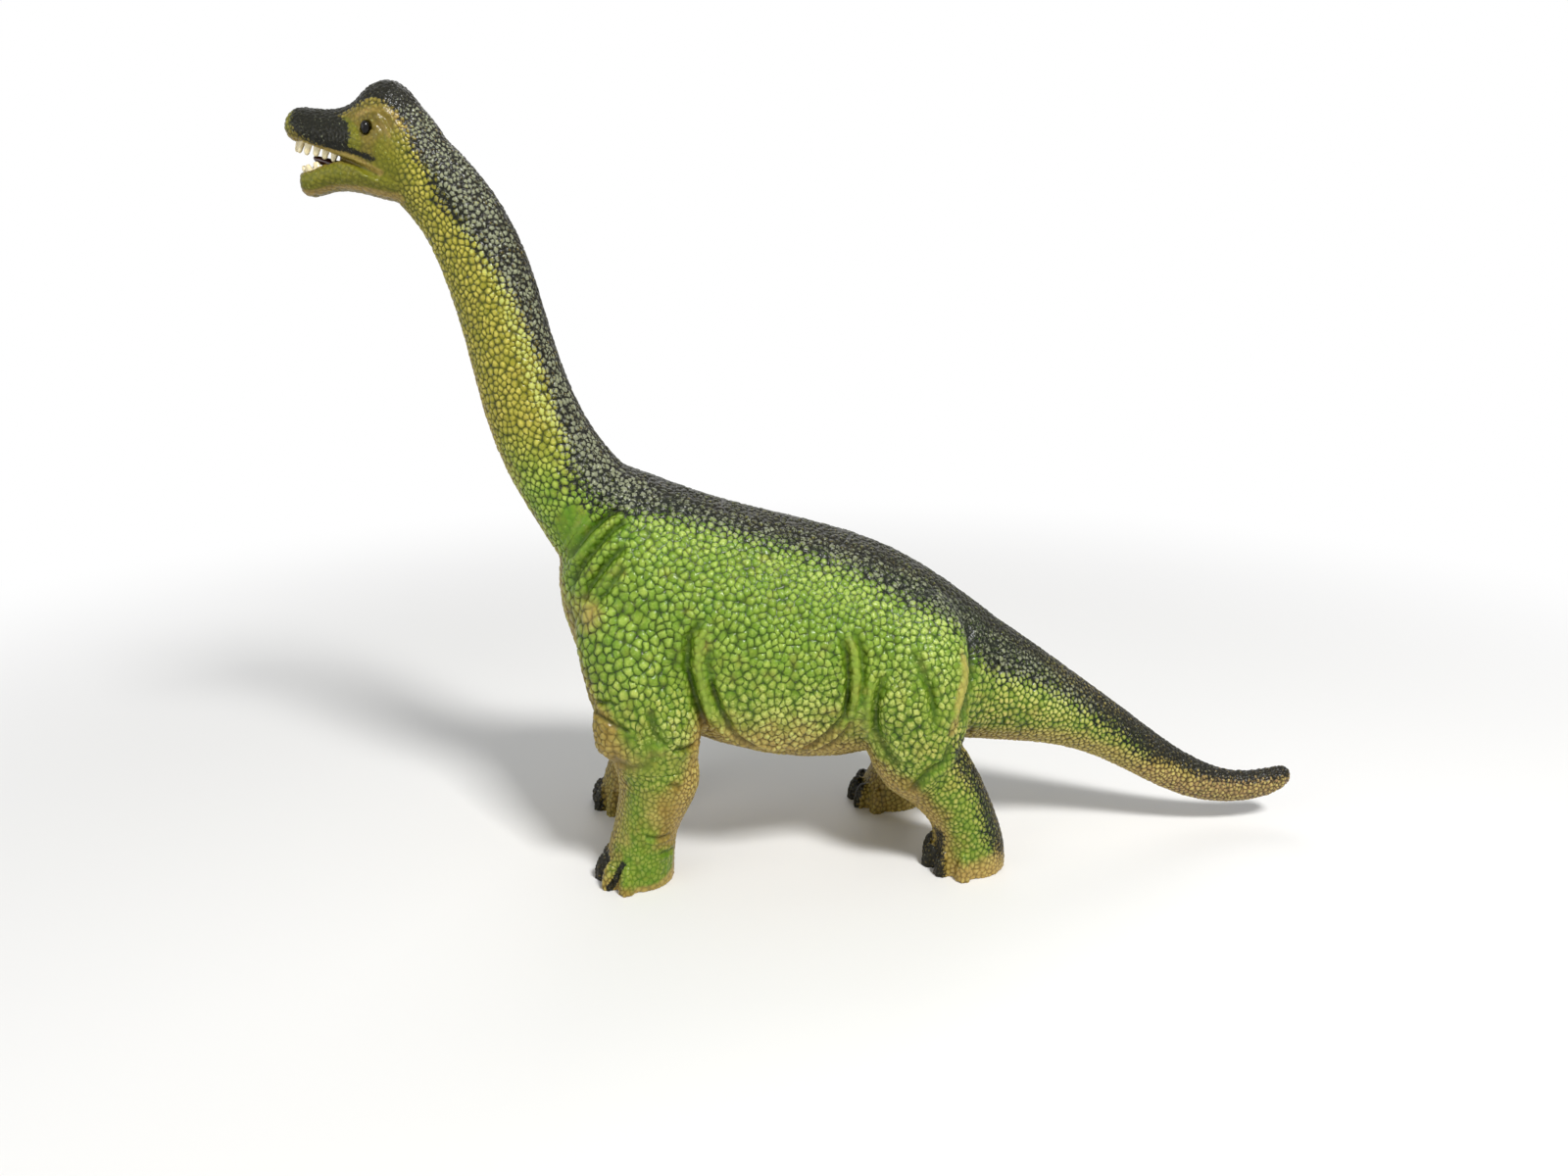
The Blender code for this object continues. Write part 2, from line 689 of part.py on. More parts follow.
def tooth_row(name, line, stand, length, count):
    """A gum strip round a jaw with its teeth drawn out of it, as one moulding."""
    pitch = line_length(line) / count
    marks = [0.0]
    for index in range(count):
        middle = pitch * (index + 0.5)
        marks += [middle - pitch * TOOTH_WIDTH_SHARE / 2, middle + pitch * TOOTH_WIDTH_SHARE / 2]
    marks.append(pitch * count)
    bm = bmesh.new()
    edge = stand * GUM_HEIGHT / 2
    faces = arch_strip(bm, line, marks, GUM_THICKNESS, -edge, edge)[1::2]
    for length_share, size_share in TOOTH_SHARES:
        faces = bmesh.ops.extrude_discrete_faces(bm, faces=faces)["faces"]
        for index, face in enumerate(faces):
            aside = (2 * index + 1) / count - 1
            step = stand * length * length_share * (1 - BACK_TOOTH_LOSS_SHARE * aside * aside)
            middle = face.calc_center_median()
            for vert in face.verts:
                vert.co = middle + (vert.co - middle) * size_share + step
    return finished_object(name, bm, figure, ivory)


def tooth_slot(name, line, stand, length, count):
    """The slot that takes a gum strip and lets its teeth out."""
    ends = [-CLEARANCE, line_length(line) + CLEARANCE]
    marks = [ends[0] + (ends[1] - ends[0]) * index / count for index in range(count + 1)]
    bm = bmesh.new()
    low = -stand * (GUM_HEIGHT / 2 + CLEARANCE)
    high = stand * (GUM_HEIGHT / 2 + length + CLEARANCE)
    arch_strip(bm, line, marks, GUM_THICKNESS + 2 * CLEARANCE, low, high)
    return finished_object(name, bm, cutters)


def build_head(head, start, skull, jaw):
    """Skull and jaw on the neck's end, the mouth's hollow, and the seats of everything set in."""
    join(head, skin("skull", skull, ROUND, ROUND, cutters, sag_share=SKULL_SAG_SHARE))
    join(head, skin("jaw", jaw, ROUND, ROUND, cutters))
    mouth = rings_from(start, -HEAD_LENGTH, HEAD_HEIGHT, HEAD_WIDTH, MOUTH_SHARES)
    cut(head, skin("mouth", mouth, ROUND, ROUND, cutters))

    upper_back = between(skull[5], skull[6], UPPER_GUM_BACK_SHARE).lower + UP * UPPER_GUM_LIFT
    upper_front = between(skull[7], skull[8], UPPER_GUM_FRONT_SHARE).lower + UP * UPPER_GUM_LIFT
    lower_back = between(jaw[4], jaw[5], LOWER_GUM_BACK_SHARE).upper - UP * LOWER_GUM_SINK
    lower_front = between(jaw[5], jaw[6], LOWER_GUM_FRONT_SHARE).upper - UP * LOWER_GUM_SINK
    rows = (
        ("upper_teeth", upper_back, upper_front, UPPER_ARCH_WIDTH, UPPER_TOOTH_LENGTH,
         UPPER_TOOTH_COUNT, -1),
        ("lower_teeth", lower_back, lower_front, LOWER_ARCH_WIDTH, LOWER_TOOTH_LENGTH,
         LOWER_TOOTH_COUNT, 1),
    )
    for name, back, front, width, length, count, upright in rows:
        line = arch_line(back, front, width)
        stand = Vector((0, upright, 0)).cross(front - back).normalized()
        tooth_row(name, line, stand, length, count)
        cut(head, tooth_slot(name + "_slot", line, stand, length, 2 * count))

    tongue = rings_from(centre(jaw[2]), -TONGUE_LENGTH, TONGUE_THICKNESS, TONGUE_WIDTH,
                        TONGUE_SHARES)
    skin("tongue", tongue, ROUND, ROUND, figure, TONGUE_SIDES, material=maroon)
    seat = [moved(grown(tongue[0], CLEARANCE), 2 * CLEARANCE)]
    seat += [grown(ring, CLEARANCE) for ring in tongue[1:]]
    cut(head, skin("tongue_seat", seat, ROUND, ROUND, cutters, TONGUE_SIDES))

    brow = between(skull[3], skull[4], EYE_PLACE_SHARE)
    size = Vector((EYE_LENGTH, EYE_DEPTH, EYE_HEIGHT))
    growth = Vector((2 * CLEARANCE, 2 * CLEARANCE, 2 * CLEARANCE))
    for side_name, side in SIDES:
        place = centre(brow) + Vector((0, side * (brow.half_width - EYE_DEPTH * EYE_SINK_SHARE), 0))
        ellipsoid("eye_" + side_name, place, size, figure, black)
        cut(head, ellipsoid("eye_socket_" + side_name, place, size + growth, cutters))
    return head


clear_scene()
figure = make_collection("toy_dinosaur")
cutters = make_collection("cutters")

green = make_material("green vinyl", (0.16, 0.42, 0.07), 0.35)
dark = make_material("dark tail vinyl", (0.12, 0.20, 0.06), 0.35)
black = make_material("gloss black", (0.01, 0.01, 0.01), 0.08)
ivory = make_material("ivory teeth", (0.80, 0.72, 0.52), 0.35)
maroon = make_material("maroon tongue", (0.16, 0.02, 0.02), 0.35)

# Where everything lies
trunk = trunk_rings()
neck_seat = trunk[0]
tail_seat = trunk[-1]
neck = rings_from(centre(neck_seat), -NECK_REACH, NECK_RISE, NECK_WIDTH, NECK_SHARES)
head_start = centre(neck[-2])
skull = rings_from(head_start, -HEAD_LENGTH, HEAD_HEIGHT, HEAD_WIDTH, SKULL_SHARES)
jaw = rings_from(head_start, -HEAD_LENGTH, HEAD_HEIGHT, HEAD_WIDTH, JAW_SHARES)
tail = rings_from(centre(tail_seat), TAIL_LENGTH, -TAIL_DROP, TAIL_WIDTH, TAIL_SHARES)

shoulder_x = TRUNK_LENGTH * SHOULDER_PLACE_SHARE - CHEST_REACH
thigh_x = TRUNK_LENGTH * THIGH_PLACE_SHARE - CHEST_REACH
shoulders = {}
thighs = {}
forelegs = {}
hindlegs = {}
for side_name, side in SIDES:
    shoulders[side_name] = limb_rings(
        shoulder_x, SHOULDER_LENGTH, ELBOW_HEIGHT, SHOULDER_HEIGHT, FORE_TRACK, SHOULDER_WIDTH,
        FORE_STRIDE, side, SHOULDER_SHARES)
    thighs[side_name] = limb_rings(
        thigh_x, THIGH_LENGTH, KNEE_HEIGHT, HIP_HEIGHT, HIND_TRACK, THIGH_WIDTH,
        HIND_STRIDE, side, THIGH_SHARES)
    forelegs[side_name] = leg_rings(
        shoulder_x, ELBOW_HEIGHT, FORE_TRACK, FORE_STRIDE, side, FORELEG_SHARES)
    hindlegs[side_name] = leg_rings(
        thigh_x + HIND_FOOT_SETBACK, KNEE_HEIGHT, HIND_TRACK, HIND_STRIDE, side, HINDLEG_SHARES)

seats = {"neck": (neck_seat, 1), "tail": (tail_seat, -1)}
for side_name, side in SIDES:
    seats["foreleg_" + side_name] = (shoulders[side_name][-1], 1)
    seats["hindleg_" + side_name] = (thighs[side_name][-1], 1)

# Torso, tail and legs
make_floor_trim()
build_torso(trunk, shoulders, thighs, seats, green)
plugged_skin("tail_shell", tail_seat, tail, -1, ROUND, slice(4), dark)
for limb_name, legs in (("foreleg_", forelegs), ("hindleg_", hindlegs)):
    for side_name, side in SIDES:
        name = limb_name + side_name
        rings = legs[side_name]
        seat, into = seats[name]
        below = moved(rings[-1], -OVERRUN)
        leg = plugged_skin(name, seat, rings + [below], into, FLAT, slice(1, -2, 2), green)
        add_toes(leg, name + "_toes", rings[-1], side)

# Neck and head
head = plugged_skin("neck_head_shell", neck_seat, neck, 1, ROUND, slice(1, None, 2), green)
build_head(head, head_start, skull, jaw)
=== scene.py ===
# %% [markdown]
# # A moulded vinyl dinosaur
# This lesson dresses a plain model of a long-necked toy dinosaur. The real toy is cast in soft
# vinyl in a few hollow sections, which are bonded together and then airbrushed and lacquered.
# The plain model comes first, because every piece below takes its place and size from it.

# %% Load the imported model
import math

import bpy
import numpy as np
from mathutils import Euler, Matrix, Vector, kdtree, noise
from mathutils.bvhtree import BVHTree


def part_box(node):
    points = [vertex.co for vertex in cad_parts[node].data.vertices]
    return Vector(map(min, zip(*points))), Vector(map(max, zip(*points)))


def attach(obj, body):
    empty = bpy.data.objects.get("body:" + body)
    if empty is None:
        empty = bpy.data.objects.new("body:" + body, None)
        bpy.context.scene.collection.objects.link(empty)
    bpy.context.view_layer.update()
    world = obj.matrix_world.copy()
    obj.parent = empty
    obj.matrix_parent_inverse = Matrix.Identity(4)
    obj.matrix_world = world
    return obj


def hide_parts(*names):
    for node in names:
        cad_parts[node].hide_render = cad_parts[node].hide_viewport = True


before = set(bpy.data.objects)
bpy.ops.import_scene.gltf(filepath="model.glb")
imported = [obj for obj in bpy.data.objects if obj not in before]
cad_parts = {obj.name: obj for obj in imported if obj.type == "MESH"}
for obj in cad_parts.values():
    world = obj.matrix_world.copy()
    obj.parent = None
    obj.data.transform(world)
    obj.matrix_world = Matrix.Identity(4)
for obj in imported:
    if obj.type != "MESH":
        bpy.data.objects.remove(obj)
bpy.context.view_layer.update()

MM = 0.001

# %% [markdown]
# ## Camera, floor and light
# A toy like this is photographed from a little above its back, with a short lens and from close
# by. The floor is plain and pale. The white behind it comes from the world as the camera and the
# lacquer's gloss see it, so no extra light falls on the toy, and the floor keeps its shadow.

# %% Set the camera
LENS_MM = 27.05
SENSOR_MM = 36
CAMERA_PLACE = (-0.03938, -0.39468, 0.2090)
DOWNWARD_DEGREES = 16.2
TURN_DEGREES = -3

camera_data = bpy.data.cameras.new("camera")
camera_data.lens = LENS_MM
camera_data.sensor_width = SENSOR_MM
camera_data.clip_start = 0.01
camera = bpy.data.objects.new("camera", camera_data)
camera.location = CAMERA_PLACE
camera.rotation_euler = Euler((math.radians(90 - DOWNWARD_DEGREES), 0,
                               math.radians(TURN_DEGREES)))
bpy.context.scene.collection.objects.link(camera)
bpy.context.scene.camera = camera
bpy.context.scene.view_settings.view_transform = "Standard"
print("camera", tuple(round(c, 3) for c in camera.location))

# %% Set the world and the floor
WHITE = (1, 1, 1, 1)
SOFT_SKY = (0.93, 0.96, 1, 1)
SKY_STRENGTH = 0.3
FLOOR_PAINT = (0.8, 0.79, 0.77, 1)
FLOOR_SIZE = 16
FADE_STARTS = 0.22
FADE_ENDS = 0.62


def new_material(name):
    """An empty node material and its node tree."""
    material = bpy.data.materials.new(name)
    material.use_nodes = True
    material.node_tree.nodes.clear()
    return material, material.node_tree


def node(tree, kind, settings=None, **inputs):
    """Adds a node. An input is a number, a colour or another node's output."""
    new = tree.nodes.new(kind)
    for name, value in (settings or {}).items():
        setattr(new, name, value)
    for name, value in inputs.items():
        key = int(name[1:]) if name[0] == "_" and name[1:].isdigit() else name.replace("_", " ")
        socket = new.inputs[key]
        if isinstance(value, bpy.types.NodeSocket):
            tree.links.new(value, socket)
        else:
            socket.default_value = value
    return new


def seen(tree):
    """1 for the rays that show a backdrop: the camera's own, and those in gloss and in glass."""
    ray = node(tree, "ShaderNodeLightPath")
    most = ray.outputs["Is Camera Ray"]
    for kind in ("Is Glossy Ray", "Is Transmission Ray"):
        most = node(tree, "ShaderNodeMath", {"operation": "MAXIMUM"},
                    _0=most, _1=ray.outputs[kind]).outputs[0]
    return most


world = bpy.data.worlds.new("studio")
bpy.context.scene.world = world
world.use_nodes = True
world.node_tree.nodes.clear()
soft = node(world.node_tree, "ShaderNodeBackground", Color=SOFT_SKY,
            Strength=SKY_STRENGTH)
white = node(world.node_tree, "ShaderNodeBackground", Color=WHITE, Strength=1.0)
mix = node(world.node_tree, "ShaderNodeMixShader", _0=seen(world.node_tree),
           _1=soft.outputs[0], _2=white.outputs[0])
node(world.node_tree, "ShaderNodeOutputWorld", Surface=mix.outputs[0])

bpy.ops.object.select_all(action="DESELECT")
bpy.ops.mesh.primitive_plane_add(size=FLOOR_SIZE, location=(0, 0, 0))
floor = bpy.context.active_object
floor.name = "floor"
floor_material, tree = new_material("floor_pale")
pale = node(tree, "ShaderNodeBsdfPrincipled", Base_Color=FLOOR_PAINT, Roughness=0.6)
blank = node(tree, "ShaderNodeEmission", Color=WHITE, Strength=1.0)
at = node(tree, "ShaderNodeTexCoord").outputs["Object"]
away = node(tree, "ShaderNodeVectorMath", {"operation": "LENGTH"}, _0=at).outputs["Value"]
far = node(tree, "ShaderNodeMapRange", {"interpolation_type": "SMOOTHSTEP"}, Value=away,
           From_Min=FADE_STARTS, From_Max=FADE_ENDS)
share = node(tree, "ShaderNodeMath", {"operation": "MULTIPLY"}, _0=far.outputs[0],
             _1=seen(tree))
mix = node(tree, "ShaderNodeMixShader", _0=share.outputs[0], _1=pale.outputs[0],
           _2=blank.outputs[0])
node(tree, "ShaderNodeOutputMaterial", Surface=mix.outputs[0])
floor.data.materials.append(floor_material)
print("pale floor, white beyond", FADE_ENDS, "m")

# %% Hang the lamps
def lamp(name, place, aim, size, power):
    """A square soft box that looks from place to aim."""
    data = bpy.data.lights.new(name, "AREA")
    data.size = size
    data.energy = power
    holder = bpy.data.objects.new(name, data)
    holder.location = place
    holder.rotation_euler = (Vector(aim) - Vector(place)).to_track_quat("-Z", "Y").to_euler()
    bpy.context.scene.collection.objects.link(holder)


LAMPS = (
    # name, place, aim, size and power
    ("key", (0.35, -0.65, 1.0), (0, 0, 0.1), 0.24, 15),
    ("fill", (-0.85, -0.6, 0.45), (0, 0, 0.1), 0.7, 2.6),
    ("back", (0.1, 0.9, 0.9), (0, 0, 0.12), 0.6, 2.5),
)
for row in LAMPS:
    lamp(*row)
print(len(LAMPS), "soft boxes")

# %% [markdown]
# ## One skin for the whole body
# On the toy the folds of skin hide the lines where neck, tail and legs are bonded on. The plain
# model shows them as steps. Each section could be sculpted alone, but then the scales would stop
# at every bond. So the sections are copied, swollen a hair so that the gaps close, and wrapped in
# one fine skin with a voxel remesh. The skin is cut back into its sections at the end.

# %% Wrap the sections in one skin
SECTIONS = ("torso_shell", "neck_head_shell", "tail_shell",
            "foreleg_left", "foreleg_right", "hindleg_left", "hindleg_right")
GRAIN = 0.37 * MM
SWELL = 0.32 * MM
SAME_PLACE = 0.001 * MM


def only(*pieces):
    """Selects these pieces and nothing else."""
    bpy.ops.object.select_all(action="DESELECT")
    for piece in pieces:
        piece.select_set(True)
    bpy.context.view_layer.objects.active = pieces[0]


def modify(piece, kind, **settings):
    """Adds one modifier, sets it and applies it."""
    only(piece)
    modifier = piece.modifiers.new(kind.lower(), kind)
    for name, value in settings.items():
        setattr(modifier, name, value)
    bpy.ops.object.modifier_apply(modifier=modifier.name)


def copy_of(name):
    """A merged copy of a plain piece, to be shaped further."""
    piece = bpy.data.objects.new(name + "_copy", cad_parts[name].data.copy())
    bpy.context.scene.collection.objects.link(piece)
    only(piece)
    bpy.ops.object.mode_set(mode="EDIT")
    bpy.ops.mesh.select_all(action="SELECT")
    bpy.ops.mesh.remove_doubles(threshold=SAME_PLACE)
    bpy.ops.object.mode_set(mode="OBJECT")
    return piece


blanks = [copy_of(name) for name in SECTIONS]
for blank in blanks:
    modify(blank, "DISPLACE", strength=SWELL, mid_level=0)
only(*blanks)
bpy.ops.object.join()
skin = bpy.context.active_object
skin.name = "skin"
modify(skin, "REMESH", mode="VOXEL", voxel_size=GRAIN, adaptivity=0)
print("wrapped:", len(skin.data.vertices), "points")

# %% Keep the outside
only(skin)
bpy.ops.object.mode_set(mode="EDIT")
bpy.ops.mesh.select_all(action="SELECT")
bpy.ops.mesh.separate(type="LOOSE")
bpy.ops.object.mode_set(mode="OBJECT")
shells = sorted(bpy.context.selected_objects, key=lambda piece: -len(piece.data.vertices))
print("shells found:", [len(piece.data.vertices) for piece in shells][:8])
skin = shells[0]
for hidden in shells[1:]:
    bpy.data.objects.remove(hidden)
modify(skin, "DISPLACE", strength=-SWELL, mid_level=0)

# %% Note which section each point belongs to
def column(mesh, what, size=3):
    """One value of every point or face of a mesh, as an array."""
    values = np.zeros(len(what) * size, np.float64)
    what.foreach_get(mesh, values)
    return values.reshape(-1, size) if size > 1 else values


def places(piece):
    """Every point of a piece, in millimetres."""
    return column("co", piece.data.vertices) / MM


def nearest_section(points, margin=1):
    """The number of the section whose plain surface is nearest to each point."""
    best = np.full(len(points), np.inf)
    label = np.zeros(len(points), np.int32)
    for number, name in enumerate(SECTIONS):
        low, high = (np.array(corner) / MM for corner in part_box(name))
        near = np.where(((points > low - margin) & (points < high + margin)).all(1))[0]
        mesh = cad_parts[name].data
        tree = BVHTree.FromPolygons([v.co for v in mesh.vertices],
                                    [p.vertices for p in mesh.polygons])
        away = np.array([tree.find_nearest(points[i] * MM)[3] for i in near])
        closer = away < best[near]
        best[near[closer]] = away[closer]
        label[near[closer]] = number
    return label


spots = places(skin)
section = nearest_section(spots)
print("points by section:", dict(zip(SECTIONS, np.bincount(section, minlength=len(SECTIONS)))))

# %% [markdown]
# ## Smoothing the casting
# The plain sections have flat facets and hard steps where limbs meet the trunk. On the toy
# these run into each other like clay. Many light passes of a Smooth modifier do that. A vertex
# group holds the passes back on the head, the feet and the tail's tip, whose small forms would
# melt away. The elbow is a soft knob on the toy, so it gets more passes of its own.

# %% Smooth the skin
# height above the floor, and how far ahead of the left leg the right one stands there
FORE_STRIDE = ((0, 17, 25, 37, 51, 69), (7.0, 6.5, 5.6, 3.5, 1.7, 0))
HIND_STRIDE = ((0, 6, 13, 22, 29, 40, 57), (20.5, 19.7, 17.2, 13.9, 10.2, 6.2, 0))
FORELEG_REAR = -35
HIND_LEG_FRONT = -12
HIND_LEG_REAR = 62
SMOOTHING = 0.6
FREE_BY_HEIGHT = ((0, 8, 22, 40), (0.05, 0.1, 0.6, 1))
FREE_ALONG_TAIL = ((80, 150, 172), (1, 0.5, 0.15))
HEAD_HELD = 0.88
BODY_PASSES = 80
ELBOW_PASSES = 168


def side_of(points):
    """The places with both flanks laid on the left one, the right legs swung back to match."""
    x, y, z = points.T
    right = y > 0
    fore = np.interp(z, *FORE_STRIDE)
    hind = np.interp(z, *HIND_STRIDE)
    swung = np.where(x < FORELEG_REAR, fore,
                     np.where((x > HIND_LEG_FRONT) & (x < HIND_LEG_REAR), hind, 0))
    return np.column_stack((np.where(right, x + swung, x), -np.abs(y), z))


def step(low, high, values):
    """0 below low, 1 above high, and a soft rise between them."""
    t = np.clip((values - low) / (high - low), 0, 1)
    return t * t * (3 - 2 * t)


def around(x, z, middle, inner, outer):
    """1 within inner of a place in the side view, falling softly to 0 at outer."""
    return 1 - step(inner, outer, np.hypot(x - middle[0], z - middle[1]))


def hold(piece, name, weights):
    """Makes a vertex group of weights, in tenths."""
    group = piece.vertex_groups.new(name=name)
    tenths = np.round(np.clip(weights, 0, 1) * 10).astype(int)
    for tenth in range(1, 11):
        members = np.where(tenths == tenth)[0]
        group.add([int(i) for i in members], tenth / 10, "REPLACE")


sides = side_of(spots)
freedom = np.interp(sides[:, 2], *FREE_BY_HEIGHT)
freedom *= 1 - HEAD_HELD * step(-128, -142, sides[:, 0])
freedom *= np.interp(sides[:, 0], *FREE_ALONG_TAIL)
by_elbow = around(sides[:, 0], sides[:, 2], (-84, 56), 6, 17)
for group, weights, passes in (("free", freedom, BODY_PASSES), ("elbow", by_elbow, ELBOW_PASSES)):
    hold(skin, group, weights)
    modify(skin, "SMOOTH", factor=SMOOTHING, iterations=passes, vertex_group=group)
    skin.vertex_groups.clear()
spots = places(skin)
print("smoothed; box in mm:", spots.min(0).round(1), spots.max(0).round(1))

# %% [markdown]
# ## Folds of skin
# The folds at the neck's root, behind the elbow and before the thigh are modelled in the clay
# original with a wire loop: a groove with a soft lip on each side. Each is drawn here as a
# line in the side view, in millimetres, with its depth and width. Every point of the skin
# then moves along its own normal by how near it is to a line. In the same step the crest of the
# head is raised and the elbow's knob is pressed flatter, where the plain model is a little off.

# %% Draw the folds
FOLDS = (
    # line in the side view, depth, width, lip
    (((-71, 128), (-76.3, 125.3), (-82.4, 120.5), (-86.5, 116), (-91.3, 109.7)), 1.2, 1.2, 0.7),
    (((-70, 124.5), (-75, 121.5), (-79.3, 117.5), (-84.6, 111.1), (-90.7, 100.6)), 1.7, 1.1, 0.7),
    (((-69.5, 117.7), (-76.3, 111.9), (-82.4, 103.9), (-86, 97)), 1.1, 1.2, 0.6),
    (((-70.5, 111.5), (-75, 106), (-80, 99), (-84, 91.5)), 0.9, 1.1, 0.4),
    (((-46, 95), (-48.5, 92), (-51.2, 88.6), (-52.1, 79), (-50, 69.3), (-47, 58.9), (-45.5, 54)),
     1.0, 1.3, 0.5),
    (((-44.2, 87), (-45.2, 80), (-43.8, 72.4), (-40, 63), (-37, 58)), 0.8, 1.1, 0.4),
    (((-2.8, 89.5), (-0.3, 82), (0.5, 74.1), (0, 66.5), (-1.1, 57.5)), 0.8, 1.2, 0.5),
    (((2.6, 91), (4.9, 81.7), (5.1, 74.8), (4, 65.5), (2.8, 56.9)), 0.7, 1.2, 0.5),
    (((-45.3, 75.6), (-42, 63.8), (-36, 54), (-26.7, 46.5), (-16, 44)), 1.2, 1.3, 0.7),
    (((1, 71.8), (-0.7, 61.1), (-5.9, 53.9), (-13, 48), (-20, 45)), 1.2, 1.1, 0.7),
    (((2.4, 66.5), (0.9, 56.2), (-3.9, 49.3), (-10.1, 44.1)), 1.0, 1.0, 0.5),
    (((12, 76), (10.6, 70), (9.3, 65.1), (9.9, 55.4), (13.5, 47.8), (18.5, 42)), 0.8, 1.4, 0.6),
    (((20, 83), (23.6, 78.3), (26.8, 70.4), (28.1, 63.7), (28.7, 56.8)), 0.8, 1.4, 0.6),
    (((21.5, 31), (23.5, 36.3), (27.3, 42), (32.5, 44.6), (35, 52.3)), 1.0, 1.3, 0.6),
    (((-82.9, 64.8), (-79.4, 63.5), (-74.8, 61), (-70, 58.7)), 1.0, 0.9, 0.3),
    (((-81.2, 67.4), (-77.1, 68.3), (-74.2, 67.8)), 0.8, 0.9, 0.3),
    (((-77.5, 50), (-75, 47.5), (-70.6, 46), (-65.4, 47), (-63.6, 50), (-63.8, 57)), 0.6, 1.4, 0.3),
    (((-63.9, 67.6), (-63.1, 61.2), (-61.3, 56.2), (-57.7, 53.9)), 1.1, 1.4, 0.5),
    (((-57, 52.4), (-54.3, 51.4), (-50.6, 51), (-48.7, 52.1)), 1.1, 0.9, 0.5),
    (((-59, 40), (-56.5, 39), (-54.4, 37.4)), 0.7, 0.8, 0.3),
    (((-67.4, 20.9), (-62.6, 19.2), (-58.8, 19.4)), 0.6, 0.8, 0.4),
    (((-62.8, 13.3), (-58.8, 11.9), (-56, 12)), 0.6, 0.8, 0.4),
    (((43, 88), (43.5, 78), (42.9, 69), (40.4, 63), (37.1, 57)), 1.4, 1.8, 0.3),
    (((-155.6, 235.1), (-150.9, 233.4), (-146.3, 231.1), (-142, 229.2)), 0.8, 0.7, 0.5),
    (((-148.2, 231), (-145.3, 229.3), (-142.5, 228.6)), 0.35, 0.5, 0.25),
    (((-141.5, 247.6), (-138.8, 245.6), (-137.2, 241.6)), 0.35, 0.6, 0.3),
    (((-141.6, 244.6), (-140, 242), (-140.4, 239.4)), 0.35, 0.6, 0.3),
)
RIDGES = (
    (((-43.6, 94.2), (-47.4, 88), (-48.5, 79.6), (-46.5, 69.3), (-43, 57)), 0.6, 1.3),
    (((-1, 90.4), (2, 83.1), (2.7, 75.5), (2.4, 67.9), (1.2, 58.5)), 0.6, 1.4),
    (((38.2, 80), (39.5, 72), (37, 64.4), (34.8, 57)), 0.9, 2.0),
    (((7.5, 75), (6.8, 66), (7.2, 58), (10.5, 49)), 0.7, 2.0),
    (((-166.8, 239.9), (-160.5, 237.6), (-155.3, 236.2), (-151, 234.7), (-146.3, 232.5)), 0.3, 0.8),
)
SWELLINGS = (
    # middle in the side view, reach along and up, height
    ((-81, 94.5), (5.5, 5.0), 0.9),
    ((18.7, 62.6), (7.5, 10), 0.5),
    ((-56.5, 58), (5.5, 6.5), 0.8),
    ((-24, 66), (24, 18), 0.9),
    ((18, 33.5), (5, 4), 0.6),
    ((-145.1, 243.2), (4.6, 4.2), -0.5),
)


def normals(piece):
    """The direction that each point of a piece faces."""
    return column("vector", piece.data.vertex_normals)


def away_from(points, line):
    """How far each point is from a line of places, and where along it the nearest place is."""
    line = [np.array(place, float) for place in line]
    best = np.full(len(points), np.inf)
    along = np.zeros(len(points))
    for number, (start, end) in enumerate(zip(line, line[1:])):
        run = end - start
        share = np.clip((points - start) @ run / (run @ run), 0, 1)
        gap = np.linalg.norm(points - start - share[:, None] * run, axis=1)
        closer = gap < best
        best[closer] = gap[closer]
        along[closer] = (number + share[closer]) / (len(line) - 1)
    return best, along


def near_line(flat, line, reach):
    """The points whose place in the side view is within reach of a line's box."""
    corners = np.array(line, float)
    low, high = corners.min(0) - reach, corners.max(0) + reach
    return np.where(((flat > low) & (flat < high)).all(1))[0]


def fold_heights(points, facing):
    """How far each point moves for the folds, ridges and swellings, and how near it is to one."""
    flat = side_of(points)[:, (0, 2)]
    outward = step(0.1, 0.45, facing[:, 1] * np.sign(points[:, 1]))
    rise = np.zeros(len(points))
    strip = np.zeros(len(points))
    for line, depth, width, lip in FOLDS:
        close = near_line(flat, line, 5 * width)
        gap, along = away_from(flat[close], line)
        ends = step(0, 0.12, along) * step(0, 0.12, 1 - along)
        groove = -depth * np.exp(-(gap / width) ** 2)
        lips = lip * np.exp(-((gap - 2.2 * width) / width) ** 2)
        rise[close] += (groove + lips) * ends
        strip[close] = np.maximum(strip[close], np.exp(-(gap / (1.7 * width)) ** 2) * ends)
    for line, height, width in RIDGES:
        close = near_line(flat, line, 4 * width)
        gap, along = away_from(flat[close], line)
        ends = step(0, 0.15, along) * step(0, 0.15, 1 - along)
        rise[close] += height * np.exp(-(gap / width) ** 2) * ends
        strip[close] = np.maximum(strip[close], np.exp(-(gap / (1.2 * width)) ** 2) * ends)
    for middle, reach, height in SWELLINGS:
        gap = np.linalg.norm((flat - middle) / reach, axis=1)
        rise += height * (1 - step(0.2, 1.25, gap))
    return rise * outward, strip * outward


CREST_RISE = 1.2
ELBOW_PRESS = 1.3


def crest_and_elbow(points, facing):
    """How far each point moves for a higher crest on the head and a flatter elbow."""
    x, _, z = side_of(points).T
    crest = around(x, z, (-141, 254), 3, 12)
    elbow = around(x, z, (-87, 57), 2, 10)
    return CREST_RISE * crest * step(-0.2, 0.5, facing[:, 2]) - ELBOW_PRESS * elbow


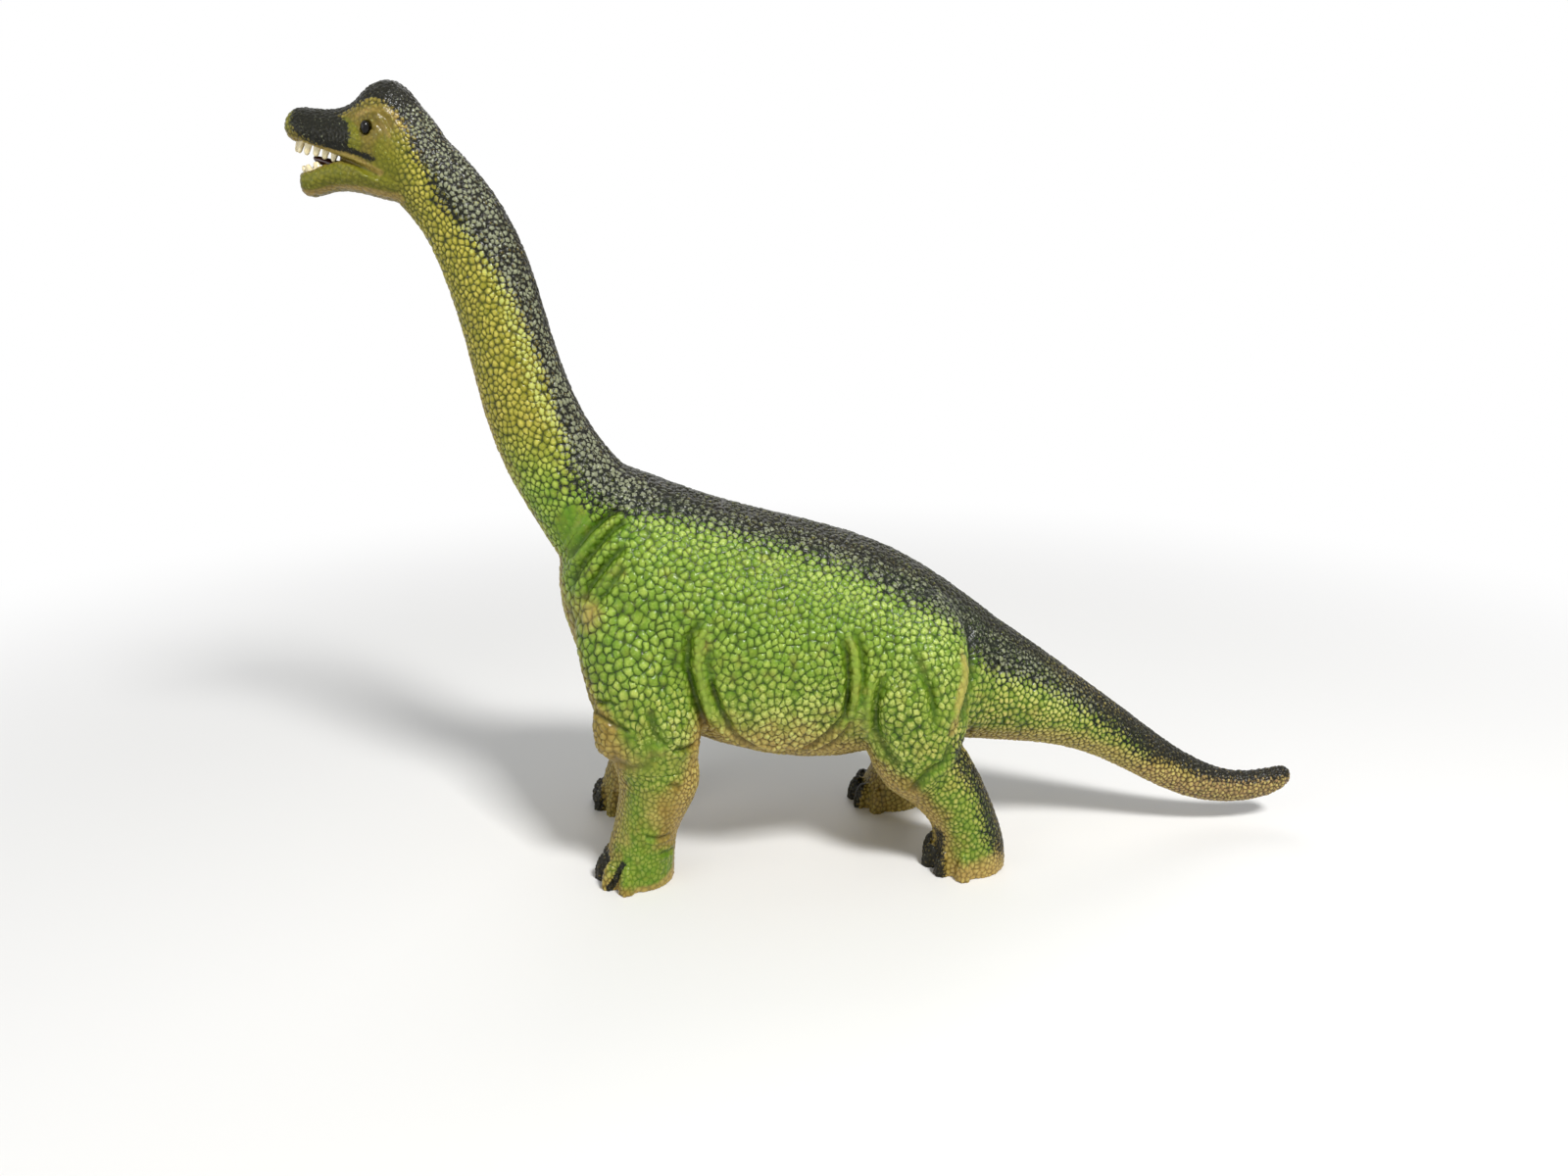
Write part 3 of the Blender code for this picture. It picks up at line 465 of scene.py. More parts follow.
def shape(piece, rise):
    """Moves every point of a piece along its normal, in millimetres."""
    moved = (places(piece) + normals(piece) * rise[:, None]) * MM
    piece.data.vertices.foreach_set("co", moved.ravel())
    piece.data.update()


folds, strips = fold_heights(spots, normals(skin))
shape(skin, folds + crest_and_elbow(spots, normals(skin)))
print("folds from", folds.min().round(2), "to", folds.max().round(2), "mm")

# %% [markdown]
# ## Scales
# The original is pressed all over with small rounded scales: plates of 3 mm on the shoulder,
# pebbles of 2.2 mm on the flank, beads of 1.2 to 2 mm up the neck and down the tail. A Voronoi
# texture would cut them at random depths and leave slivers. Here one seed is dropped per
# scale, none nearer to another than the scale's size, and every point of the skin finds its two
# nearest seeds. Where both are equally far lies the crevice between two scales.

# %% Drop the seeds
# height or place along the body, and the size of a scale there
FLANK_SIZES = ((30, 44, 60), (1.5, 1.8, 2.25))
NECK_SIZES = ((112, 135, 170, 225, 238), (2.2, 1.9, 1.7, 1.5, 1.2))
TAIL_SIZES = ((42, 60, 100, 172), (2.2, 1.8, 1.55, 1.25))
FOOT_SIZE = 1.5
PLATE_EXTRA = 0.7
RUFFLE = 0.24
RUFFLE_PITCH = 0.55
UPRIGHT_SHARE = 0.86
SEED = 7
SEED_GAP = 0.86


def scale_size(points):
    """The size of a scale at each place, in millimetres."""
    x, _, z = side_of(points).T
    size = np.interp(z, *FLANK_SIZES)
    size = size + PLATE_EXTRA * around(x, z, (-76, 88), 10, 26)
    size = np.where((x < -66) & (z > 112), np.interp(z, *NECK_SIZES), size)
    size = np.where(x > 42, np.interp(x, *TAIL_SIZES), size)
    return np.where((z < 40) & (x < HIND_LEG_REAR), np.minimum(size, FOOT_SIZE), size)


def ruffled(points, push):
    """The places pushed about by noise and shortened upright, so that no two scales are alike."""
    return (points + RUFFLE * scale_size(points)[:, None] * push) * (1, 1, UPRIGHT_SHARE)


dice = np.random.default_rng(SEED)
noise.seed_set(SEED)
spots = places(skin)
push = np.array([noise.noise_vector(Vector(place) * RUFFLE_PITCH) for place in spots])
cells = ruffled(spots, push)
order = dice.permutation(len(spots))[: len(spots) // 3]
sizes = scale_size(spots[order]) * (0.7 + 0.5 * dice.random(len(order)))
finder = kdtree.KDTree(len(order))
for number, place in enumerate(cells[order]):
    finder.insert(place, number)
finder.balance()
taken = np.zeros(len(order), bool)
seeds = []
for number, place in enumerate(cells[order]):
    if taken[number]:
        continue
    seeds.append(number)
    for _, other, _ in finder.find_range(place, SEED_GAP * sizes[number]):
        taken[other] = True
seeds = cells[order][seeds]
print("scales:", len(seeds))

# %% Press the scales
RELIEF = 0.3
CREVICE_SHARE = 0.24
CREVICE_LEAST = 0.45
DOME_SHARE = 0.72
DEPTH_BY_HEIGHT = ((0, 30, 42, 60), (0.65, 0.8, 1, 1))
SHIN = ((-82, 58), (-73, 52), (-62, 44), (-66, 20), (-66, 5))
RIB_PITCH = 2.6
RIB_DEPTH = 0.22

seed_finder = kdtree.KDTree(len(seeds))
for number, place in enumerate(seeds):
    seed_finder.insert(place, number)
seed_finder.balance()
found = [seed_finder.find_n(place, 2) for place in cells]
first = np.array([pair[0][2] for pair in found])
second = np.array([pair[1][2] for pair in found])
mine = np.array([pair[0][1] for pair in found])
size = scale_size(spots)
edge = step(0, 1, (second - first) / np.maximum(CREVICE_SHARE * size, CREVICE_LEAST))
dome = np.clip(1 - (first / (DOME_SHARE * size)) ** 2.4, 0, 1)
luck = dice.random(len(seeds))[mine]

flat = side_of(spots)
x, _, z = flat.T
depth = np.full(len(spots), RELIEF)
depth *= np.where(x > HIND_LEG_REAR, 1, np.interp(z, *DEPTH_BY_HEIGHT))
from_shin, _ = away_from(flat[:, (0, 2)], SHIN)
depth *= 0.7 + 0.3 * step(7, 12, from_shin)
bald = 1 - step(5, 8, np.hypot(x + 88, (z - 120) * 0.8))
depth *= 1 - 0.75 * bald
snout = step(-133, -140, x) * step(251, 247, z)
depth *= 1 - 0.55 * snout * (1 - 0.6 * step(-150, -153, x) * step(236, 239, z))
depth *= 1 - 0.55 * strips
press = depth * size * (0.4 * edge + 0.6 * dome * edge - 0.55) * (0.65 + 0.7 * luck)
press += 0.06 * push[:, 2]
ribs = step(118, 135, x) * (0.5 + 0.5 * np.cos(2 * np.pi * x / RIB_PITCH + 3 * push[:, 0]))
press -= RIB_DEPTH * ribs * step(10, 22, z)
shape(skin, press)
print("scale relief, mm:", press.min().round(2), press.max().round(2))

# %% [markdown]
# ## Airbrush strokes
# The vinyl itself is tan. At the factory a green is sprayed over the flanks, a black along the
# spine, and a pale cream is wiped over the tops of the scales at the end. A stroke here is a
# line through the air by the skin, with the radius that it covers fully at each of its places.
# Each point of the skin keeps how much of every paint reached it, as an attribute, and the
# material breaks the edges of the spray up into speckles.

# %% Spray the paints
def sprayed(points, strokes):
    """How much paint reaches each point. A place of a stroke is x, y, z and its full radius."""
    left = np.ones(len(points))
    for line, fade, strength in strokes:
        line = np.array(line, float)
        reach = line[:, 3].max() + fade
        low, high = line[:, :3].min(0) - reach, line[:, :3].max(0) + reach
        close = np.where(((points > low) & (points < high)).all(1))[0]
        best = np.full(len(close), np.inf)
        for start, end in zip(line, line[1:]):
            run = end[:3] - start[:3]
            share = np.clip((points[close] - start[:3]) @ run / (run @ run), 0, 1)
            gap = np.linalg.norm(points[close] - start[:3] - share[:, None] * run, axis=1)
            best = np.minimum(best, gap - start[3] - share * (end[3] - start[3]))
        left[close] *= 1 - strength * (1 - step(0, fade, best))
    return 1 - left


BLACK = (
    # crest, snout, cheek line
    (((-166, -1, 249.5, 1.8), (-160, 0, 250, 4), (-153, 0, 250.5, 4.5), (-147, 0, 253.5, 6),
      (-141, 0, 257, 8), (-135, 0, 255, 8)), 3.5, 0.93),
    (((-163.4, -6.2, 245.8, 3.6), (-160, -7, 244, 4), (-156.6, -7.8, 242.6, 3.8),
      (-154.4, -8.2, 241.6, 2.8)), 3.2, 0.88),
    (((-155.4, -8, 237.9, 0.3), (-152.2, -8.5, 237.1, 0.3), (-148.5, -8.8, 236, 0.2),
      (-144.2, -9.7, 234.4, 0.1)), 1.5, 0.8),
    # nape and neck
    (((-132.5, 0, 252.5, 6), (-126, 0, 245, 7.5), (-120.5, 0, 238.5, 11), (-113, 0, 229, 14),
      (-103.5, 0, 212.5, 12), (-98, 0, 196, 9.5), (-94, 0, 180, 8), (-91.5, 0, 171, 7.8),
      (-85.6, 0, 156, 10.5), (-75, 0, 141, 14.5), (-66, 0, 134, 16.5)), 7, 1.0),
    # back and tail
    (((-72, 0, 138, 15.5), (-50, 0, 129, 12), (-32, 0, 124, 12), (-13, 0, 119, 13.5),
      (6, 0, 113, 15.5), (22, 0, 106, 18.5), (35, 0, 98, 20.5), (45, 0, 91, 19),
      (56, 0, 83, 16.5)), 16, 0.94),
    (((56, 0, 83, 17.5), (70, 0, 73, 14.5), (85, 0, 61.8, 11), (101, 0, 50, 9),
      (117, 0, 38, 7)), 10, 0.86),
    (((112, 0, 42, 8.5), (117, 0, 38, 7.5), (133, 0, 27, 4.5), (149, 0, 21.2, 2.6),
      (164, 0, 21.5, 1.6), (173, 0, 24.5, 2)), 6, 0.9),
    # shank, toes and claws
    (((38, -33, 47, 0.2), (43, -31, 40, 1.5), (48, -30, 33, 2.6), (52, -30, 25, 3.8),
      (55, -31, 17, 4.6), (57, -30, 13, 4)), 11, 0.82),
    (((-86, -30, 13, 3.5), (-84, -32, 7, 4), (-83, -31, 1, 4)), 2.5, 1.0),
    (((-88, -22, 10, 5), (-86, -22, 2, 5)), 3, 1.0),
    (((-74.7, -39, 9.9, 0.5), (-77.3, -38.2, 4.3, 0.8), (-79.6, -39.5, 1.1, 0.8)), 1.2, 1.0),
    (((30, -33, 13, 3.4), (29, -33, 7, 4.6), (29, -34, 1, 5)), 3, 1.0),
    (((27, -22, 12, 5), (26, -22, 2, 6)), 3, 1.0),
)
GREEN = (
    (((-168.6, -3, 247.3, 1.2), (-168.9, -5, 244.3, 1.4)), 1.5, 0.8),
    (((-151.6, -8.4, 244.5, 1.2), (-149.8, -9.8, 241.8, 1.8), (-149.2, -9.9, 239, 1.6)), 2, 1.0),
    (((-146, -9, 235.5, 2), (-141, -9.5, 234, 3.5), (-137, -9.5, 237, 3.5)), 5, 0.55),
    (((-138, -9.5, 231.5, 3), (-131, -9.3, 223.6, 6), (-124, -9.1, 209.2, 8),
      (-117.5, -10.7, 194.5, 8.5), (-112, -12.2, 180, 9), (-106.8, -13.5, 164, 10),
      (-100, -15, 146, 11), (-90, -17, 127, 13)), 7, 0.95),
    (((-166, -5, 228, 1.4), (-164, -6.5, 227.9, 1.8), (-156.8, -7.8, 230, 2.4),
      (-150.2, -8.6, 229.6, 2.6), (-144, -9, 228.4, 2.6)), 1.8, 0.9),
    (((-88, -16, 124, 9), (-60, -22, 114, 12), (-35, -28, 106, 14), (-5, -30, 98, 14),
      (20, -30, 90, 14), (38, -26, 80, 12)), 12, 1.0),
    (((-76, -28, 108, 16), (-62, -34, 92, 20), (-35, -38, 84, 22), (0, -38, 78, 22),
      (25, -36, 74, 22)), 15, 1.0),
    (((-67, -38, 78, 12), (-62, -42, 64, 8), (-60, -42, 50, 7)), 9, 0.9),
    (((15, -38, 66, 15), (28, -40, 52, 11)), 10, 0.9),
    (((34, -39, 40, 6), (42, -36, 26, 6), (45, -36, 13, 5)), 7, 0.8),
    (((-69, -42, 40, 3), (-70, -40, 20, 4)), 7, 0.75),
    (((-72, -40, 11, 6), (-62, -38, 7, 5)), 6, 0.82),
    (((45, -26, 72, 14), (62, -18, 58, 12), (85, -12, 44, 7), (105, -9, 33, 4)), 9, 0.9),
)
TAN = (
    (((-171, -1, 243, 1.5), (-171, -3, 240, 1.5), (-164, -6, 238, 1), (-157, -7, 236.2, 0.7),
      (-150, -8, 234.2, 0.7), (-146, -8.5, 232.3, 0.7), (-142.5, -9, 230.4, 0.7)), 0.9, 1.0),
    (((-167.6, -2.6, 248.8, 0.3), (-166.2, -2.4, 249.6, 0.3)), 0.8, 0.8),
    (((-169, -1, 223.8, 1.6), (-167.3, -3.4, 224.2, 0.9), (-159.2, -4.6, 225.2, 0.9),
      (-148.3, -6.5, 225, 1.1), (-138.3, -5.7, 222.6, 1.6)), 1.4, 0.9),
    (((-147.8, -8.8, 246.8, 0.2), (-143.5, -9.1, 248.2, 0.3), (-139.6, -8.8, 248.1, 0.4),
      (-136.3, -8.4, 246.7, 0.5), (-134.7, -8.6, 243.6, 0.5)), 1.2, 0.95),
    (((-140.8, -9.9, 244.8, 0.2), (-139.4, -10, 243.2, 0.3), (-138.4, -10.2, 240.7, 0.2)),
     0.8, 0.8),
    (((-138, 0, 214, 3), (-128, 0, 185, 4), (-117, 0, 150, 5), (-104, 0, 118, 7),
      (-98, 0, 95, 9)), 9, 0.45),
    (((-98, 0, 90, 12), (-88, 0, 62, 14)), 14, 0.75),
    (((-87.3, -23.6, 95.4, 0.5), (-82, -30.7, 93.5, 0.5)), 9, 0.7),
    (((-52, -30, 56, 2), (-46, -26, 55, 4), (-40, -26, 48, 4)), 6, 0.9),
    (((-43.6, -34, 93, 0.4), (-48.5, -36, 79.6, 0.5), (-46.5, -35, 69, 0.7), (-43, -31, 57, 1)),
     2, 0.55),
    (((-44, -30, 48, 2), (-24, -35, 48, 3), (-6, -32, 45, 2)), 22, 0.9),
    (((39.5, -30, 84, 0.5), (39.5, -33, 72, 0.9), (37, -36, 64.4, 1), (34.8, -38, 55, 0.6)),
     2.2, 0.85),
    (((12.5, -33, 37, 0.5), (18, -35, 32.5, 1), (22, -36, 31, 0.5)), 6, 0.9),
    (((24, -33, 29, 0.5), (31, -32, 20, 0.5), (37, -31, 14, 0.5)), 8, 0.75),
    (((40, -38, 1, 2), (46, -38, 2, 2.2), (52, -36, 3, 2.4), (57, -30, 4, 2.4)), 5, 1.0),
    (((-80, -34, 55, 1), (-74, -41, 49, 1), (-67, -43, 47, 1)), 10, 0.4),
    (((-50, -32, 48, 0.8), (-53, -34, 38, 0.8), (-57, -35, 28, 0.8), (-56, -33, 20, 0.8)), 7, 0.95),
    (((-76, -40, 0.5, 1), (-66, -39, 0.5, 1), (-57, -32, 2, 2)), 1.8, 1.0),
    (((-85, -22, 40, 4), (-84, -24, 25, 3)), 5, 0.6),
    (((-80, -36, 44, 1), (-78, -38, 30, 2), (-76, -39, 18, 1)), 7, 0.45),
    (((-66, -43, 36, 0.5), (-64, -42, 26, 1)), 5, 0.45),
    (((44, 0, 36, 12), (70, 0, 33, 12), (100, 0, 22, 9.5), (120, 0, 12, 7.5)), 9, 0.85),
    (((60, -8, 40, 6), (80, -8, 34, 6), (100, -6, 26, 6)), 10, 0.7),
    (((100, 0, 22, 9.5), (112, 0, 16, 8.5), (130, 0, 10, 9), (150, 0, 9, 9), (172, 0, 17, 6.5)),
     8, 0.95),
    (((-35, 0, 30, 10), (0, 0, 28, 10), (30, 0, 34, 8)), 12, 0.9),
)
# cream over the black of nape and back is partly wiped paint, partly painted glints off the lacquer
CREAM = (
    (((-130, -6, 246, 2), (-122, -8, 234, 4), (-113, -9, 218, 5), (-104, -9, 198, 4),
      (-99, -9, 180, 4), (-94, -10, 165, 5), (-84, -12, 150, 6), (-72, -15, 136, 7)), 6, 1.0),
    (((-62, -17, 126, 6), (-30, -19, 117, 7), (0, -21, 107, 8), (22, -24, 97, 10),
      (42, -22, 84, 9), (60, -16, 70, 5), (85, -11, 52, 3)), 8, 0.62),
    (((-64, -42, 57, 3), (-56, -42, 58, 4), (-50, -39, 58, 3)), 5, 0.8),
    (((-34, -38, 60, 6), (-16, -38, 60, 6), (-4, -38, 66, 5)), 13, 0.6),
    (((8, -38, 62, 3), (12, -38, 52, 3), (18, -38, 44, 4)), 6, 0.6),
    (((30, -38, 84, 8), (20, -37, 62, 8)), 14, 0.55),
)

# how much painted highlight the scale crowns get at each height, and how much more on the thigh
CROWN_HIGHLIGHT_BY_HEIGHT = ((45, 62, 78, 96, 112, 130), (1, 1, 0.78, 0.7, 0.85, 0.9))
THIGH_EXTRA_HIGHLIGHT = 0.5

spots = places(skin)
sides = side_of(spots)
paints = {"black": sprayed(sides, BLACK), "green": sprayed(sides, GREEN),
          "tan": sprayed(sides, TAN), "cream": sprayed(sides, CREAM)}
paints["yellow"] = step(128, 158, sides[:, 2])
paints["low"] = 1 - step(48, 90, sides[:, 2])
paints["head"] = step(-130, -139, sides[:, 0]) * step(-1, 0, sides[:, 2] - 215)
paints["head"] *= 1 - 0.5 * paints["tan"]
relief = np.clip(depth / RELIEF, 0, 1)
# crevice, hollow and the tail's ribs carry the painted shade between the scales; crown carries the
# painted highlight on their tops
paints["crevice"] = (1 - edge) * relief
paints["hollow"] = np.maximum((1 - dome * edge) ** 1.6 * relief, 0.8 * ribs)
paints["crown"] = dome * edge * relief
# painted shade in the grooves of the folds
paints["fold"] = np.clip(-folds, 0, 1) * (z < 180)
# painted highlight on the lips and ridges beside the folds
paints["ridge"] = np.clip(folds / 0.8, 0, 1) * strips
paints["luck"] = luck
paints["tip"] = 0.9 * step(95, 135, x)
# share of the crowns' painted highlight at each place
paints["crown_highlight_share"] = (np.interp(z, *CROWN_HIGHLIGHT_BY_HEIGHT)
                    + THIGH_EXTRA_HIGHLIGHT * step(8, 36, x) * (z > 45) * (x < 60))
for name, values in paints.items():
    layer = skin.data.attributes.new(name, "FLOAT", "POINT")
    layer.data.foreach_set("value", np.clip(values, 0, 1).astype(np.float32))
print({name: round(float(values.mean()), 3) for name, values in paints.items()})

# %% [markdown]
# ## Cutting the skin back into its sections
# The toy is bonded from a torso, a neck with the head, a tail and four lower legs, so the skin
# is cut along the same lines. Giving each section a material of its own and separating by
# material keeps every attribute. The open ends are then filled, as the collars fill them.

# %% Cut the skin
def flat_vinyl(name):
    """A stand-in finish that only marks a section until its real finish is on."""
    material, tree = new_material(name)
    shader = node(tree, "ShaderNodeBsdfPrincipled")
    node(tree, "ShaderNodeOutputMaterial", Surface=shader.outputs[0])
    return material


section = nearest_section(spots)
skin.data.materials.clear()
for name in SECTIONS:
    skin.data.materials.append(flat_vinyl("cut_" + name))
corners = column("vertices", skin.data.polygons, 4).astype(int)
labels = np.sort(section[corners], axis=1)[:, 1].astype(np.int32)
skin.data.polygons.foreach_set("material_index", labels)
only(skin)
bpy.ops.object.mode_set(mode="EDIT")
bpy.ops.mesh.select_all(action="SELECT")
bpy.ops.mesh.separate(type="MATERIAL")
bpy.ops.object.mode_set(mode="OBJECT")
covers = {}
for piece in list(bpy.context.selected_objects):
    name = piece.data.materials[0].name.removeprefix("cut_")
    piece.name = name.removesuffix("_shell") + "_skin"
    covers[name] = piece
    only(piece)
    bpy.ops.object.mode_set(mode="EDIT")
    bpy.ops.mesh.select_all(action="SELECT")
    bpy.ops.mesh.fill_holes(sides=0)
    bpy.ops.object.mode_set(mode="OBJECT")
    bpy.ops.object.shade_smooth()
print({name: len(piece.data.polygons) for name, piece in covers.items()})

# %% Thin the largest piece
MOST_TRIANGLES = 196000
for name, piece in covers.items():
    triangles = sum(len(face.vertices) - 2 for face in piece.data.polygons)
    if triangles > MOST_TRIANGLES:
        modify(piece, "DECIMATE", ratio=MOST_TRIANGLES / triangles)
        print(piece.name, triangles, "thinned to", len(piece.data.polygons))

# %% [markdown]
# ## Lacquered vinyl
# The crevices and hollows between the scales, the tail's ribs and the grooves of the folds are
# darkened as painted shade. The whole head is also darkened as painted shade, and the black reaches
# deeper into the hollows. The crowns of the scales are lightened, partly as the pale tops of the
# real paint and partly as painted highlight, and the ridges beside the folds get painted highlight.
# The wiped cream catches the crowns; over the black it also stands in as painted glints. Over it
# all lies a clear lacquer, which a coat on the Principled shader gives. The masks come from the
# attributes;
# noise on object coordinates breaks them into the speckle of an airbrush.

# %% Mix the vinyl
def colour(r, g, b):
    """A colour as seen on a screen, from 0 to 255, turned into the values that light adds up in."""
    return tuple((c / 255 / 12.92) if c < 10.3 else ((c / 255 + 0.055) / 1.055) ** 2.4
                 for c in (r, g, b)) + (1,)


def blend(tree, amount, below, above):
    """Lays one colour over another by an amount."""
    mix = node(tree, "ShaderNodeMix", {"data_type": "RGBA"})
    for key, value in ((0, amount), (6, below), (7, above)):
        if isinstance(value, bpy.types.NodeSocket):
            tree.links.new(value, mix.inputs[key])
        else:
            mix.inputs[key].default_value = value
    return mix.outputs[2]


def sum_of(tree, kind, first, second, third=0.0, clamp=False):
    """One step of arithmetic."""
    return node(tree, "ShaderNodeMath", {"operation": kind, "use_clamp": clamp},
                _0=first, _1=second, _2=third).outputs[0]


def painted_vinyl(name):
    """Tan vinyl under green, black and cream paint and a clear lacquer."""
    material, tree = new_material(name)
    at = node(tree, "ShaderNodeTexCoord").outputs["Object"]

    def layer(paint):
        """How much of one paint a point carries."""
        return node(tree, "ShaderNodeAttribute", {"attribute_name": paint}).outputs["Fac"]

    def grain(scale, detail=2.0):
        """Noise of one fineness."""
        return node(tree, "ShaderNodeTexNoise", Vector=at, Scale=scale,
                    Detail=detail).outputs["Fac"]

    def broken(mask, noise, spread, hardness):
        """A mask whose edge is broken up by noise."""
        shifted = sum_of(tree, "MULTIPLY_ADD", sum_of(tree, "SUBTRACT", noise, 0.5), spread, mask)
        ramp = node(tree, "ShaderNodeMapRange", {"interpolation_type": "SMOOTHSTEP"},
                    Value=shifted, From_Min=0.5 - hardness, From_Max=0.5 + hardness)
        return ramp.outputs[0]

    speckle = grain(1300)
    cloud = grain(80)
    patch = grain(230)
    blotch = grain(150, 4.0)

    base = blend(tree, cloud, colour(150, 122, 54), colour(118, 102, 40))
    green = blend(tree, patch, colour(64, 116, 18), colour(118, 142, 32))
    lime = blend(tree, patch, colour(146, 138, 32), colour(104, 110, 22))
    green = blend(tree, layer("yellow"), green, lime)
    green_mask = broken(layer("green"), blotch, 1.7, 0.5)
    paint = blend(tree, green_mask, base, green)
    tan_mask = broken(layer("tan"), blotch, 1.7, 0.5)
    tan = blend(tree, cloud, colour(190, 158, 92), colour(152, 122, 62))
    tan = blend(tree, layer("tip"), tan, colour(158, 120, 92))
    paint = blend(tree, sum_of(tree, "MULTIPLY", tan_mask, 0.75), paint, tan)

    # Painted highlight on the crowns of the scales, partly the pale tops of the real paint:
    # yellow-green, tan lower down, lime-yellow up the neck.
    light = blend(tree, layer("low"), colour(180, 202, 92), colour(206, 192, 108))
    light = blend(tree, layer("yellow"), light, colour(206, 192, 90))
    picked = sum_of(tree, "MULTIPLY_ADD", layer("luck"), 0.65, -0.25)
    picked = sum_of(tree, "ADD", picked, speckle)
    picked = sum_of(tree, "MULTIPLY", picked, layer("crown_highlight_share"))
    raised = sum_of(tree, "POWER", layer("crown"), 1.9)
    paint = blend(tree, sum_of(tree, "MULTIPLY", raised, picked, clamp=True), paint, light)

    # Painted shade: the crevices and hollows between the scales darken toward a deep olive.
    crevice_shade = sum_of(tree, "MULTIPLY", layer("hollow"), 0.44)
    crevice_shade = sum_of(tree, "MULTIPLY_ADD", layer("crevice"), 0.36, crevice_shade)
    paint = blend(tree, crevice_shade, paint, colour(24, 40, 4))
    # Painted shade: the grooves of the skin folds darken toward a deep olive.
    deep = sum_of(tree, "MULTIPLY", layer("fold"), 0.62)
    paint = blend(tree, deep, paint, colour(26, 44, 4))
    # Painted highlight: the ridges beside the folds turn a lighter green.
    ridge_highlight = sum_of(tree, "MULTIPLY", layer("ridge"), 0.28)
    paint = blend(tree, ridge_highlight, paint, colour(168, 180, 80))
    # Painted shade: the whole head is darkened toward olive.
    head_shade = sum_of(tree, "MULTIPLY", layer("head"), 0.42)
    paint = blend(tree, head_shade, paint, colour(56, 62, 8))

    # Painted shade: the black reaches deeper into the hollows between the scales and stops short of
    # their crowns.
    hollow_shade_black = sum_of(tree, "MULTIPLY_ADD", layer("hollow"), 0.5, -0.16)
    heavy = sum_of(tree, "MULTIPLY_ADD", layer("head"), 0.4, 1.0)
    black_mask = sum_of(tree, "MULTIPLY_ADD", layer("black"), heavy, hollow_shade_black)
    black_mask = broken(black_mask, speckle, 1.7, 0.32)
    black = blend(tree, patch, colour(3, 4, 3), colour(13, 16, 10))
    paint = blend(tree, sum_of(tree, "MULTIPLY", black_mask, 0.97), paint, black)

    # Wiped cream on the crowns, partly real dry-brushed paint and partly painted glints; greyer
    # over the black.
    crown = sum_of(tree, "MULTIPLY", sum_of(tree, "POWER", layer("crown"), 1.3), layer("cream"))
    uneven = sum_of(tree, "SUBTRACT", layer("luck"), 0.5)
    crown = sum_of(tree, "MULTIPLY_ADD", uneven, sum_of(tree, "MULTIPLY", crown, 0.9), crown)
    wiped_cream_and_glints = broken(sum_of(tree, "MULTIPLY", crown, 0.86), speckle, 2.2, 0.25)
    cream = blend(tree, black_mask, colour(180, 194, 106), colour(164, 168, 136))
    paint = blend(tree, sum_of(tree, "MULTIPLY", wiped_cream_and_glints, 0.55), paint, cream)

    bumps = node(tree, "ShaderNodeBump", Strength=0.5, Distance=0.00025,
                 Height=grain(1700, 4.0))
    gloss = node(tree, "ShaderNodeMapRange", Value=patch, From_Min=0.3, From_Max=0.7,
                 To_Min=0.3, To_Max=0.44)
    shader = node(tree, "ShaderNodeBsdfPrincipled", Base_Color=paint, Roughness=gloss.outputs[0],
                  Normal=bumps.outputs[0])
    shader.inputs["Specular IOR Level"].default_value = 0.12
    shader.inputs["Coat Weight"].default_value = 0.17
    shader.inputs["Coat Roughness"].default_value = 0.14
    node(tree, "ShaderNodeOutputMaterial", Surface=shader.outputs[0])
    return material


body_vinyl = painted_vinyl("painted_green_vinyl")
tail_vinyl = painted_vinyl("painted_tail_vinyl")
for name, piece in covers.items():
    piece.data.materials.clear()
    piece.data.materials.append(tail_vinyl if name == "tail_shell" else body_vinyl)
    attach(piece, "root")
    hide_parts(name)
print("painted", len(covers), "sections")

# %% [markdown]
# ## Eyes, teeth and tongue
# The eyes are gloss black beads, the teeth two ivory rows of rounded pegs on a gum strip, and
# the tongue a maroon slip with a groove down its middle. The plain teeth are boxes with
# narrowed tips, so two rounds of subdivision turn each into a peg.

# %% Mix the finishes of eyes, teeth and tongue
CAST_GRAIN = 900


